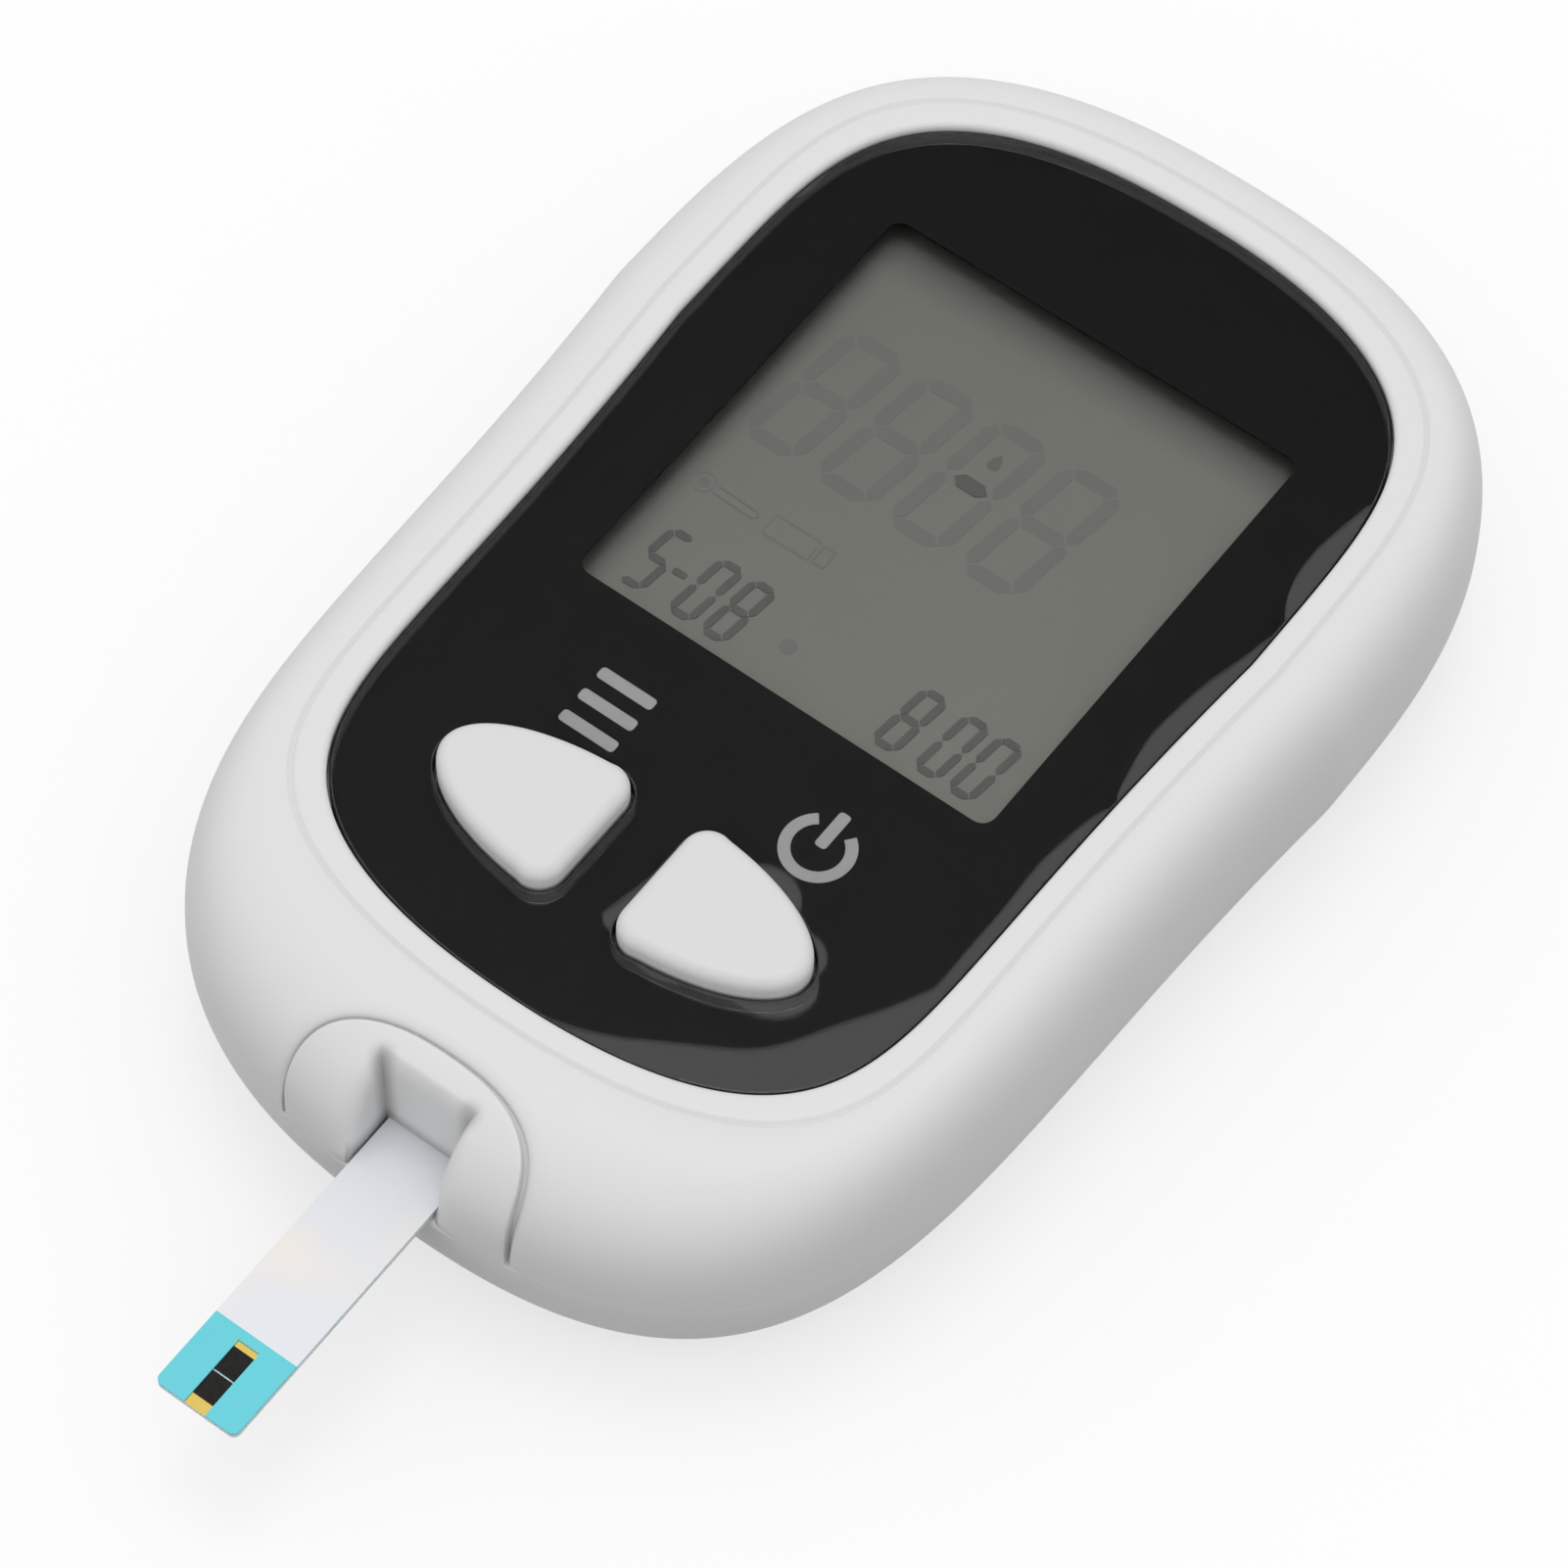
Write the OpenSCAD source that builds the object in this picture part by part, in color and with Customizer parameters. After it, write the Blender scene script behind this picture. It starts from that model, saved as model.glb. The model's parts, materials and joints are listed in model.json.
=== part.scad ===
// Blood glucose meter with its test strip, in millimetres.
// X runs across the meter, Y towards its top end, Z up out of its face.
// The origin lies on the flat back, on the centre line and under the middle of the black face.

/* [Housing] */
// Width of the housing at its widest section
body_width = 58.5; // [55:0.5:64]
// Distance from the origin to the top end
body_top = 43; // [41:0.5:48]
// Distance from the origin to the end with the strip port
body_bottom = 48.3; // [47:0.1:52]
// Distance of the widest section from the origin
widest_y = 11.5; // [8:0.5:14]
// How fast the sides draw in below the widest section
side_taper = 0.092; // [0.06:0.002:0.12]
// How fast the sides bow out again towards the port
side_waist = 0.0019; // [0.0010:0.0001:0.0024]
// Height of the parting line between the two shells
part_z = 9.4; // [9.4:0.1:10.4]
// Height of the front surface of the black face
face_z = 17.8; // [17.6:0.1:19]
// How far the white rim stands above the face
rim_rise = 0.5; // [0.2:0.1:1]
// Wall thickness of both shells
wall = 1.8; // [1.5:0.1:2.2]
// Radius by which the rear shell draws in towards the flat back
back_round = 4.4; // [3.5:0.1:5]
// Roundness of the shoulder, as a superellipse exponent
shoulder = 2.6; // [2:0.1:3.2]
// Height of the tongue on the rear shell that locates the front shell
tongue_h = 1; // [0.6:0.1:1.4]
// Clearance between the tongue and the front shell
tongue_gap = 0.15; // [0.1:0.05:0.3]

// Thickness of the stiffening ribs
rib_t = 0.8; // [0.6:0.1:1.2]
// Height of the ribs on the rear shell's floor
rib_h = 1.4; // [1:0.1:2.5]
// Distance between those ribs
rib_pitch = 9; // [7:0.5:12]

/* [Face] */
// Width of the white rim beside the face
rim_side = 6.9; // [6:0.1:8]
// Width of the white rim at the top end
rim_top = 6.4; // [5.5:0.1:8]
// Width of the white rim at the port end
rim_bottom = 11.8; // [11:0.1:13]
// Thickness of the clear face sheet
lens_t = 1.1; // [0.8:0.1:1.3]
// Thickness of the black printed film under it
film_t = 0.1; // [0.05:0.05:0.2]
// Thickness of the deck that carries the face
deck_t = 1.2; // [1:0.1:1.4]
// Clearance round the face in its recess
face_gap = 0.12; // [0.05:0.01:0.25]
// Distance of the fine groove from the edge of the face
groove_out = 1.9; // [1.5:0.1:2.5]
// Width of the fine groove
groove_w = 0.5; // [0.3:0.1:0.7]
// Depth of the fine groove
groove_d = 0.25; // [0.1:0.05:0.4]

/* [Display] */
// Width of the display window
window_w = 32; // [28:0.5:33]
// Length of the display window
window_l = 34.2; // [30:0.1:35]
// Distance of the window's lower edge below the origin
window_low = 9.1; // [7:0.1:10]
// Corner radius of the window
window_r = 1; // [0.5:0.1:2]
// Thickness of one sheet of display glass
glass_t = 0.7; // [0.5:0.1:0.8]
// Thickness of a polarising film
polar_t = 0.2; // [0.1:0.05:0.25]
// Width of the glass border outside the window
glass_border = 2.4; // [2:0.1:2.8]
// Width of the contact ledge below the window
ledge_w = 2.8; // [2.6:0.1:3.2]
// Thickness of the foam gasket over the display
gasket_t = 0.2; // [0.1:0.05:0.25]
// Wall of the display frame
frame_wall = 1.2; // [1:0.1:1.4]
// Clearance round the glass in its frame
frame_gap = 0.2; // [0.1:0.05:0.3]

/* [Keys] */
// Distance of a key's straight side from the centre line
key_in = 2.3; // [1.8:0.05:2.6]
// Length of a key from its straight side to its tip
key_len = 11.7; // [11:0.1:13]
// Height of a key's straight side
key_h = 9.8; // [9:0.1:11]
// Corner radius at a key's straight side
key_r = 1.8; // [1:0.1:2.4]
// Roundness of a key's bow, as a superellipse exponent
key_power = 2; // [1.8:0.1:2.4]
// Distance of the keys below the origin
key_y = 24.9; // [24.6:0.1:25.5]
// How far a key stands above the face
key_rise = 1.6; // [1:0.1:2]
// Rounding of a key's upper edge
key_round = 1.2; // [0.5:0.1:1.4]
// Wall of a key, which is hollow from beneath
key_wall = 1.2; // [0.9:0.1:1.5]
// Clearance between a key and its opening
key_gap = 0.22; // [0.15:0.01:0.35]
// Travel of a key
key_travel = 0.35; // [0.25:0.05:0.5]
// Width of the flange that keeps a key in
flange_w = 0.7; // [0.5:0.1:0.9]
// Thickness of that flange
flange_t = 0.8; // [0.6:0.1:1]

/* [Strip port] */
// Half the width of the arched port insert
arch_half = 8.7; // [8:0.1:9.5]
// Distance of the arch's crown from the port end
arch_depth = 6.3; // [6:0.1:6.8]
// Roundness of the arch, as a superellipse exponent
arch_power = 2.4; // [2:0.1:3]
// Gap round the insert
arch_gap = 0.35; // [0.2:0.05:0.5]
// How far the insert stands above the shoulder
arch_rise = 0.25; // [0.1:0.05:0.4]
// Depth of the groove round the insert, down to the insert's flange
arch_groove = 1.1; // [0.8:0.1:1.6]
// Clearance of that flange in the front housing
arch_fit = 0.05; // [0.03:0.01:0.1]
// Thickness of the sill that the insert stands on
sill_t = 0.6; // [0.4:0.1:0.7]
// Width of the notch in the insert
notch_w = 7.4; // [6.8:0.1:8]
// Depth of the notch from the port end
notch_d = 4.4; // [4:0.1:4.7]
// Reach of the ears that hold the insert under the front shell
ear_w = 0.7; // [0.5:0.1:0.9]
// Thickness of those ears
ear_t = 1.2; // [1:0.1:1.5]
// Rounding of the notch's upper edges
notch_round = 1.5; // [1:0.1:2]
// Height of the slot under the notch's back wall
slot_h = 1.15; // [1.1:0.05:1.4]

/* [Test strip] */
// Width of the test strip
strip_w = 6.2; // [5.5:0.1:6.5]
// Length of the strip outside the notch's back wall
strip_out = 22.8; // [18:0.1:25]
// Length of the strip inside the meter
strip_in = 7.2; // [6.6:0.1:7.6]
// Thickness of the strip's base
strip_base_t = 0.35; // [0.25:0.05:0.4]
// Thickness of the films on the base
strip_film_t = 0.15; // [0.1:0.01:0.2]
// Gap between the parting line and the strip
strip_lift = 0.3; // [0.2:0.05:0.35]
// Length of the coloured end
strip_end_l = 5.8; // [4.5:0.1:7]
// Length of the reaction window in the coloured end
react_l = 5.1; // [3:0.1:5.4]
// Width of the reaction window
react_w = 1.6; // [0.8:0.1:2]
// Radius of the strip's outer corners
strip_r = 0.5; // [0.3:0.1:1]
// Length of the gold band at the strip's tip
gold_out = 0.8; // [0.4:0.1:1.2]
// Length of the gold band at the other end of the window
gold_in = 0.45; // [0.2:0.05:0.8]
// How far the cover film runs in past the notch's back wall
cover_in = 3; // [2.5:0.1:3.4]
// Clearance of the strip in its connector
strip_gap = 0.1; // [0.05:0.05:0.2]

/* [Electronics] */
// Height of the circuit board's underside
board_z = 7.4; // [7.2:0.1:7.5]
// Thickness of the circuit board
board_t = 1.2; // [1:0.1:1.3]
// Clearance between the board's edge and the shell
board_gap = 0.9; // [0.7:0.1:1.2]
// Side of the microcontroller's package
chip_w = 10; // [7:0.5:12]
// Distance of the microcontroller above the origin
chip_y = 8; // [4:0.5:14]
// Radius of the buzzer
buzzer_r = 4.4; // [3.5:0.1:4.6]
// Height of the buzzer
buzzer_h = 2.6; // [2:0.1:3]
// Distance of the board's lower posts from the centre line
post_x = 12; // [9:0.5:13]
// Radius of the board's lower posts
post_r = 1.6; // [1.2:0.1:2]
// Distance of the row of small components from the centre line
parts_x = 12.4; // [11.6:0.1:12.8]
// Distance between small components
parts_pitch = 3.2; // [2.4:0.1:3.4]
// Side of a key switch
switch_w = 6; // [5:0.1:6.5]
// Height of a key switch's body
switch_h = 3.5; // [3:0.1:3.8]
// Radius of a switch plunger
plunger_r = 1.7; // [1.2:0.1:2]
// Height of a plunger above its switch
plunger_h = 0.8; // [0.7:0.1:1]
// Clearance of a plunger in its switch
plunger_gap = 0.06; // [0.04:0.01:0.1]
// Number of contacts in the strip connector
contact_count = 5; // [3:1:6]
// Distance between contacts
contact_pitch = 1.15; // [0.9:0.05:1.2]
// Width of one contact
contact_w = 0.55; // [0.4:0.05:0.6]
// Thickness of every sprung metal leaf
leaf_t = 0.2; // [0.1:0.05:0.3]
// Distance of the top contact's tail from the cell's middle
cell_tail = 5.7; // [5.6:0.1:6]

/* [Battery] */
// Radius of the coin cell
cell_r = 10; // [8:0.1:10.2]
// Thickness of the coin cell
cell_t = 3.2; // [2.5:0.1:3.3]
// Distance of the cell's centre above the origin
cell_y = 20.8; // [20:0.1:22]
// Clearance round the cell in its bay
cell_gap = 0.3; // [0.2:0.05:0.4]
// Width of the battery door
door_w = 24.4; // [23:0.1:25.5]
// Thickness of the battery door
door_t = 1.3; // [1:0.1:1.4]
// How far the door lies inside the flat back
door_sink = 0.2; // [0.15:0.05:0.4]
// Gap round the door
door_gap = 0.25; // [0.2:0.05:0.4]
// Radius of the door's hinge barrel
barrel_r = 1.1; // [0.9:0.05:1.2]
// Radius of the door's hinge pins
pin_r = 0.6; // [0.5:0.05:0.7]
// Length of a hinge pin
pin_l = 1.3; // [1:0.1:1.6]
// Clearance of a hinge pin in its bore
pin_gap = 0.08; // [0.04:0.01:0.1]

/* [Fasteners] */
// Distance of the housing screws from the centre line
screw_x = 18.5; // [18:0.1:19]
// Clearance between the upper screw bosses and the display frame
boss_gap = 0.4; // [0.3:0.1:0.8]
// Distance of the lower housing screws below the origin
screw_down = 33.5; // [32:0.1:35]
// Radius of a screw's shank
shank_r = 0.95; // [0.8:0.05:1.05]
// Radius of a screw's head
head_r = 1.7; // [1.5:0.1:1.9]
// Height of a screw's head
head_h = 1.2; // [1:0.1:1.3]
// Radius of a screw boss
boss_r = 2.7; // [2.5:0.1:2.9]
// Clearance of a shank in the front boss
thread_gap = 0.05; // [0.03:0.01:0.08]
// Clearance of a head in its counterbore and a shank in the rear boss
screw_gap = 0.3; // [0.2:0.05:0.4]
// Radius of a board screw's shank
board_shank_r = 0.8; // [0.6:0.05:0.9]
// Radius of a board screw's head
board_head_r = 1.5; // [1.2:0.1:1.8]
// Distance of the board screws from the centre line
board_screw_x = 23; // [22.5:0.1:23.4]
// Distance of the board screws above the origin
board_screw_y = 4; // [2:0.5:6]
// Depth of the board screws below the board
board_screw_l = 3.5; // [3:0.1:4]

/* [Hidden] */
// Sides of the housing's outline
sides = 90;
// Levels in one quarter of a rounded section
levels = 8;
// Steps of the search for a point of an outline
search_steps = 20;
// Overlap that makes two solids of one piece fuse
fuse = 0.2;
// Reach of a cut past the surface it opens
past = 5;

// An outline is [widest y, half width, length above, length below, taper, waist,
// side and end exponents above, side and end exponents below].
BODY = [widest_y, body_width / 2, body_top - widest_y, body_bottom + widest_y,
    side_taper, side_waist, 2.46, 3.22, 2.5, 4.98];
face_wide_y = widest_y - 1.3;
FACE = [face_wide_y, body_width / 2 - rim_side, body_top - rim_top - face_wide_y,
    body_bottom - rim_bottom + face_wide_y, side_taper - 0.0126, side_waist - 0.0003, 2.34, 4.7, 2.19, 9];

rim_z = face_z + rim_rise;
film_top = face_z - lens_t;
seat_z = film_top - film_t;
deck_z = seat_z - deck_t;
port_y = -body_bottom;
notch_y = port_y + notch_d;
crown_y = port_y + arch_depth;

strip_z = part_z + strip_lift;
strip_mid = strip_z + strip_base_t;
strip_top = strip_mid + strip_film_t;
strip_tip = notch_y - strip_out;
strip_end = notch_y + strip_in;

board_top = board_z + board_t;
glass_top = deck_z - gasket_t - polar_t;
glass_mid = glass_top - glass_t;
glass_low = glass_mid - glass_t;
mirror_z = glass_low - polar_t;
glass_w = window_w + 2 * glass_border;
window_up = window_l - window_low;
glass_up = window_up + glass_border;
frame_up = glass_up + frame_gap + frame_wall;
screw_up = frame_up + boss_gap + boss_r;
glass_down = -window_low - glass_border;
ledge_down = glass_down - ledge_w;

key_top = face_z + key_rise;
flange_top = deck_z - 0.1;
flange_low = flange_top - flange_t;
switch_top = board_top + switch_h;
key_mid = key_in + key_len * 0.42;

connector_front = crown_y + 0.3;
connector_half = contact_count * contact_pitch / 2 + 1.6;
connector_back = strip_end + 1.4;
connector_top = strip_top + 2.2;
buzzer_x = connector_half + buzzer_r + 1.7;
buzzer_y = screw_down + 1.1;
post_y = connector_front - 1.7;
parts_y = ledge_down - frame_gap - frame_wall - 2;

door_low = door_sink;
door_top = door_sink + door_t;
cell_low = door_top + 0.2;
cell_top = cell_low + cell_t;
bay_roof = cell_top + 0.7;
roof_t = 0.9;
block_half = door_w / 2 + door_gap + pin_l + 1.3;
hinge_y = cell_y + cell_r + cell_gap + barrel_r + 1;
hinge_z = door_low + barrel_r;
latch_y = cell_y - cell_r - cell_gap - 2;
block_low = latch_y - door_gap - 1.2;
block_up = hinge_y + barrel_r + door_gap + 1.2;
head_seat = head_h + 1;

WHITE = [0.9, 0.9, 0.9];
BLACK = [0.09, 0.09, 0.09];
GOLD = [0.83, 0.69, 0.22];
STEEL = [0.75, 0.76, 0.78];
CLEAR = [0.8, 0.85, 0.86, 0.4];

// ---- Outlines ----

// Half the width that the side line has at y
function side_at(s, y) = s[1] + (y < s[0] ? s[4] * (y - s[0]) + s[5] * pow(y - s[0], 2) : 0);

// Below 0 inside the outline s, above 0 outside it
function level_of(s, x, y) =
    let (up = y > s[0], end = up ? s[2] : s[3], m = up ? s[6] : s[8], n = up ? s[7] : s[9])
    pow(abs(x) / side_at(s, y), m) + pow(abs(y - s[0]) / end, n) - 1;

// Distance to the outline s along the ray at angle a from +Y
function reach(s, a, near, far, k) =
    let (mid = (near + far) / 2)
    k == 0 ? mid
    : level_of(s, mid * sin(a), mid * cos(a)) > 0 ? reach(s, a, near, mid, k - 1)
    : reach(s, a, mid, far, k - 1);

// The outline's points, clockwise from +Y as seen from above
function ring(s) = [for (i = [0 : sides - 1])
    let (a = i * 360 / sides, l = reach(s, a, 0, 90, search_steps)) [l * sin(a), l * cos(a)]];

// The outline s moved outwards by d
function grow(s, d) = [s[0], s[1] + d, s[2] + d, s[3] + d, s[4], s[5], s[6], s[7], s[8], s[9]];

function lift(points, z) = [for (p = points) [p[0], p[1], z]];
function mix(from, to, w) = [for (i = [0 : len(from) - 1]) from[i] + (to[i] - from[i]) * w];

// Rings of the shoulder from the outline outer at z_low in to inner at z_high
function shoulder_rings(outer, inner, z_low, z_high, power) = [for (i = [0 : levels])
    let (a = 90 * i / levels, w = pow(cos(a), 2 / power), h = pow(sin(a), 2 / power))
    lift(mix(inner, outer, w), z_low + (z_high - z_low) * h)];

// Rings of the rounded rear shell, from the outline s at z_high down to its flat at z_low
function back_rings(s, z_high, z_low, inset) = [for (i = [0 : levels])
    let (a = 90 * i / levels, w = 1 - pow(cos(a), 1.06), h = pow(sin(a), 1.06))
    lift(ring(grow(s, -inset * w)), z_high - (z_high - z_low) * h)];

function reversed(list) = [for (i = [len(list) - 1 : -1 : 0]) list[i]];

// A closed solid through the rings, with both ends capped
module skin(rings) {
    n = len(rings[0]);
    m = len(rings);
    walls = [for (j = [0 : m - 2], i = [0 : n - 1])
        let (a = j * n + i, b = j * n + (i + 1) % n) each [[a, b, b + n], [a, b + n, a + n]]];
    caps = [[for (i = [n - 1 : -1 : 0]) i], [for (i = [0 : n - 1]) (m - 1) * n + i]];
    polyhedron([for (r = rings) each r], concat(walls, caps));
}

// Where a path's parallel line runs at point i, t to its left, mitred at the bends
function beside(path, i, t) =
    let (last = len(path) - 1,
        a = path[min(i + 1, last)] - path[min(i, last - 1)], b = path[max(i, 1)] - path[max(i - 1, 0)],
        n = a / norm(a) + b / norm(b), m = n / norm(n))
    path[i] + t * [-m[1], m[0]] / (m * a / norm(a));

// A metal leaf of thickness t and width w from x, bent along a path of [y, z] points
module leaf(path, t, x, w) {
    translate([x, 0, 0]) rotate([90, 0, 90]) linear_extrude(w)
        polygon(concat(path, [for (i = [len(path) - 1 : -1 : 0]) beside(path, i, t)]));
}

// A rectangle with exact round corners, drawn from its centre
module rounded_plate(w, l, h, r) {
    union() {
        translate([-w / 2 + r, -l / 2, 0]) cube([w - 2 * r, l, h]);
        translate([-w / 2, -l / 2 + r, 0]) cube([w, l - 2 * r, h]);
        for (x = [-w / 2 + r, w / 2 - r], y = [-l / 2 + r, l / 2 - r])
            translate([x, y, 0]) cylinder(h = h, r = r, $fn = 48);
    }
}

// The outline of the right-hand key, grown by d: a straight side with round corners and a pointed bow
function key_outline(d) =
    let (x0 = key_in - d, l = key_len + 2 * d, h = key_h / 2 + d, r = key_r + d, p = key_power,
        a_max = acos(pow(r / l, p / 2)))
    concat(
        [for (i = [0 : 4]) let (a = 180 - 22.5 * i) [x0 + r + r * cos(a), -key_y + h - r + r * sin(a)]],
        [for (i = [1 : 23]) let (a = a_max * (1 - i / 12))
            [x0 + l * pow(cos(a), 2 / p), -key_y + h * sin(a)]],
        [for (i = [0 : 4]) let (a = -90 - 22.5 * i) [x0 + r + r * cos(a), -key_y - h + r + r * sin(a)]]);

// Both key openings, cut from z_low to z_high
module key_openings(z_low, z_high) {
    for (side = [0, 1]) mirror([side, 0, 0])
        translate([0, 0, z_low]) linear_extrude(z_high - z_low) polygon(key_outline(key_gap));
}

// The arch of the port insert in plan, grown by d and open past the port end
function arch_outline(d) =
    let (foot = port_y + 0.3, h = crown_y - foot + d, w = arch_half + d)
    concat([[w, port_y - past]],
        [for (i = [0 : 20]) let (a = 9 * i, c = cos(a))
            [sign(c) * w * pow(abs(c), 2 / arch_power), foot + h * pow(sin(a), 2 / arch_power)]],
        [[-w, port_y - past]]);

// The window's place, drawn d larger all round
module window_cut(d, z_low, z_high) {
    translate([0, (window_up - window_low) / 2, z_low])
        rounded_plate(window_w + 2 * d, window_l + 2 * d, z_high - z_low, window_r + d);
}

module at_housing_screws() {
    for (x = [-screw_x, screw_x], y = [screw_up, -screw_down]) translate([x, y, 0]) children();
}

module at_board_screws() {
    for (x = [-board_screw_x, board_screw_x]) translate([x, board_screw_y, 0]) children();
}

// ---- Housing ----

module front_shell() {
    edge = ring(grow(FACE, face_gap));
    line_out = ring(grow(FACE, groove_out + groove_w / 2));
    line_in = ring(grow(FACE, groove_out - groove_w / 2));
    line_mid = ring(grow(FACE, groove_out));
    inner_wall = ring(grow(BODY, -wall));
    inner_top = ring(grow(FACE, groove_out - wall));
    rebate = ring(grow(BODY, tongue_gap / 2 - wall / 2));
    rebate_z = part_z + tongue_h + tongue_gap;
    cavity = [for (i = [0 : levels - 2])
        let (a = 60 * i / (levels - 2), w = pow(cos(a), 2 / shoulder))
        lift(mix(inner_top, inner_wall, w), rebate_z + (deck_z - rebate_z) * sin(a) / sin(60))];
    skin(concat(
        reversed(cavity),
        [lift(rebate, rebate_z), lift(rebate, part_z)],
        shoulder_rings(ring(BODY), line_out, part_z, rim_z, shoulder),
        [lift(line_mid, rim_z - groove_d), lift(line_in, rim_z), lift(edge, rim_z), lift(edge, seat_z)]));
}

// What of the children stays clear of the housing's rounded outer surface
module inside_housing() {
    intersection() {
        children();
        linear_extrude(rim_z) polygon(ring(grow(BODY, -back_round * 0.55)));
    }
}

module front_housing() {
    color(WHITE) difference() {
        union() {
            front_shell();
            inside_housing() at_housing_screws() translate([0, 0, part_z])
                cylinder(h = deck_z - part_z + fuse, r = boss_r, $fn = 48);
        }
        at_housing_screws() translate([0, 0, part_z - 1])
            cylinder(h = deck_z - part_z, r = shank_r + thread_gap, $fn = 32);
        window_cut(0.6, deck_z - past, seat_z + past);
        key_openings(deck_z - 1, seat_z + 1);
        translate([0, 0, part_z - 1]) linear_extrude(rim_z) polygon(arch_outline(arch_gap / 2));
    }
}

module rear_shell() {
    tongue = ring(grow(BODY, -tongue_gap / 2 - wall / 2));
    skin(concat(
        reversed(back_rings(BODY, part_z, 0, back_round)),
        [lift(tongue, part_z), lift(tongue, part_z + tongue_h)],
        back_rings(grow(BODY, -wall), part_z + tongue_h, wall, back_round)));
}

module battery_block() {
    translate([-block_half, block_low, wall - fuse])
        cube([2 * block_half, block_up - block_low, bay_roof + roof_t - wall + fuse]);
}

module battery_bay_cut() {
    door_l = hinge_y - latch_y;
    translate([-door_w / 2 - door_gap, latch_y - door_gap, -1])
        cube([door_w + 2 * door_gap, door_l + door_gap, door_top + 1.15]);
    translate([-door_w / 2 - door_gap, hinge_y - barrel_r - door_gap, -1])
        cube([door_w + 2 * door_gap, 2 * (barrel_r + door_gap), hinge_z + barrel_r + door_gap + 1]);
    translate([0, cell_y, 0]) cylinder(h = bay_roof, r = cell_r + cell_gap, $fn = 96);
    for (side = [-1, 1]) translate([side * door_w / 2, hinge_y, hinge_z]) rotate([0, 90 * side, 0])
        translate([0, 0, -1]) cylinder(h = pin_l + door_gap + 1, r = pin_r + pin_gap, $fn = 32);
    // Pocket of the side contact
    translate([cell_r - 0.5, cell_y - 2.8, door_top + 0.15]) cube([2.1, 5.6, bay_roof + roof_t]);
    // Way through the roof for the top contact's tail
    translate([-1.7, cell_y + 5.4, bay_roof - 1]) cube([3.4, 1, roof_t + 2]);
    // Scoop for a fingertip beside the latch
    translate([0, latch_y - 1.2, -8.1]) sphere(r = 9, $fn = 64);
}

// Ribs that cross on the floor, below the battery block
module floor_ribs() {
    half = body_width / 2 - wall - back_round - 3;
    low = port_y + wall + back_round + 6;
    for (y = [block_low - rib_pitch : -rib_pitch : low]) translate([-half, y, wall - fuse])
        cube([2 * half, rib_t, rib_h + fuse]);
    for (x = [-rib_pitch, rib_pitch]) translate([x - rib_t / 2, low, wall - fuse])
        cube([rib_t, block_low + fuse - low, rib_h + fuse]);
}

// Sill under the port insert, clear above the board
module port_sill() {
    intersection() {
        translate([0, 0, part_z - sill_t]) linear_extrude(sill_t) polygon(arch_outline(-arch_gap));
        linear_extrude(rim_z) polygon(ring(grow(BODY, -wall / 2)));
    }
}

module rear_housing() {
    color(WHITE) difference() {
        union() {
            rear_shell();
            battery_block();
            floor_ribs();
            port_sill();
            inside_housing() {
                at_housing_screws() translate([0, 0, wall - fuse])
                    cylinder(h = part_z - wall + fuse, r = boss_r, $fn = 48);
                at_board_screws() translate([0, 0, wall - fuse])
                    cylinder(h = board_z - wall + fuse, r = board_shank_r + 1.1, $fn = 32);
                for (x = [-post_x, post_x]) translate([x, post_y, wall - fuse])
                    cylinder(h = board_z - wall + fuse, r = post_r, $fn = 32);
            }
        }
        battery_bay_cut();
        at_housing_screws() {
            translate([0, 0, -1]) cylinder(h = head_seat + 1, r = head_r + screw_gap, $fn = 48);
            cylinder(h = part_z + 1, r = shank_r + screw_gap, $fn = 32);
        }
        at_board_screws() translate([0, 0, wall + 0.6])
            cylinder(h = board_z, r = board_shank_r + thread_gap, $fn = 32);
        // The tongue stops beside the port
        translate([-arch_half - 1, port_y - 1, part_z])
            cube([2 * arch_half + 2, arch_depth + 2, tongue_h + 1]);
    }
}

module notch_profile() {
    half = notch_w / 2;
    z_round = rim_z - 2.6;
    polygon(concat(
        [[-half, part_z - 1], [half, part_z - 1]],
        [for (i = [0 : 6]) let (a = 15 * i)
            [half + notch_round * (1 - cos(a)), z_round + notch_round * sin(a)]],
        [[half + notch_round, rim_z + past], [-half - notch_round, rim_z + past]],
        [for (i = [6 : -1 : 0]) let (a = 15 * i)
            [-half - notch_round * (1 - cos(a)), z_round + notch_round * sin(a)]]));
}

// What the arch's outline, drawn d larger, cuts from the shoulder raised by rise
module arch_block(d, rise) {
    intersection() {
        translate([0, 0, part_z]) linear_extrude(rim_z) polygon(arch_outline(d));
        skin(shoulder_rings(ring(grow(BODY, rise)), ring(grow(FACE, groove_out + rise)),
            part_z, rim_z + rise, shoulder));
    }
}

module port_bezel() {
    color(WHITE) union() {
        difference() {
            union() {
                arch_block(-arch_gap / 2, arch_rise);
                // Flange at the bottom of the groove
                arch_block(arch_gap / 2 - arch_fit, -arch_groove);
            }
            translate([0, notch_y, 0]) rotate([90, 0, 0]) linear_extrude(notch_d + past) notch_profile();
            translate([-strip_w / 2 - 0.25, notch_y - 1, part_z - 1])
                cube([strip_w + 0.5, arch_depth + past, slot_h + 1]);
        }
        // Ears that the front shell holds down
        for (side = [0, 1]) mirror([side, 0, 0]) translate([arch_half - 2, crown_y - 3.4, part_z])
            cube([ear_w + 2, 1.6, ear_t]);
    }
}

// ---- Face and display ----

module face_lens() {
    color(CLEAR) difference() {
        translate([0, 0, film_top]) linear_extrude(lens_t) polygon(ring(FACE));
        key_openings(film_top - 1, face_z + 1);
    }
}

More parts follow.
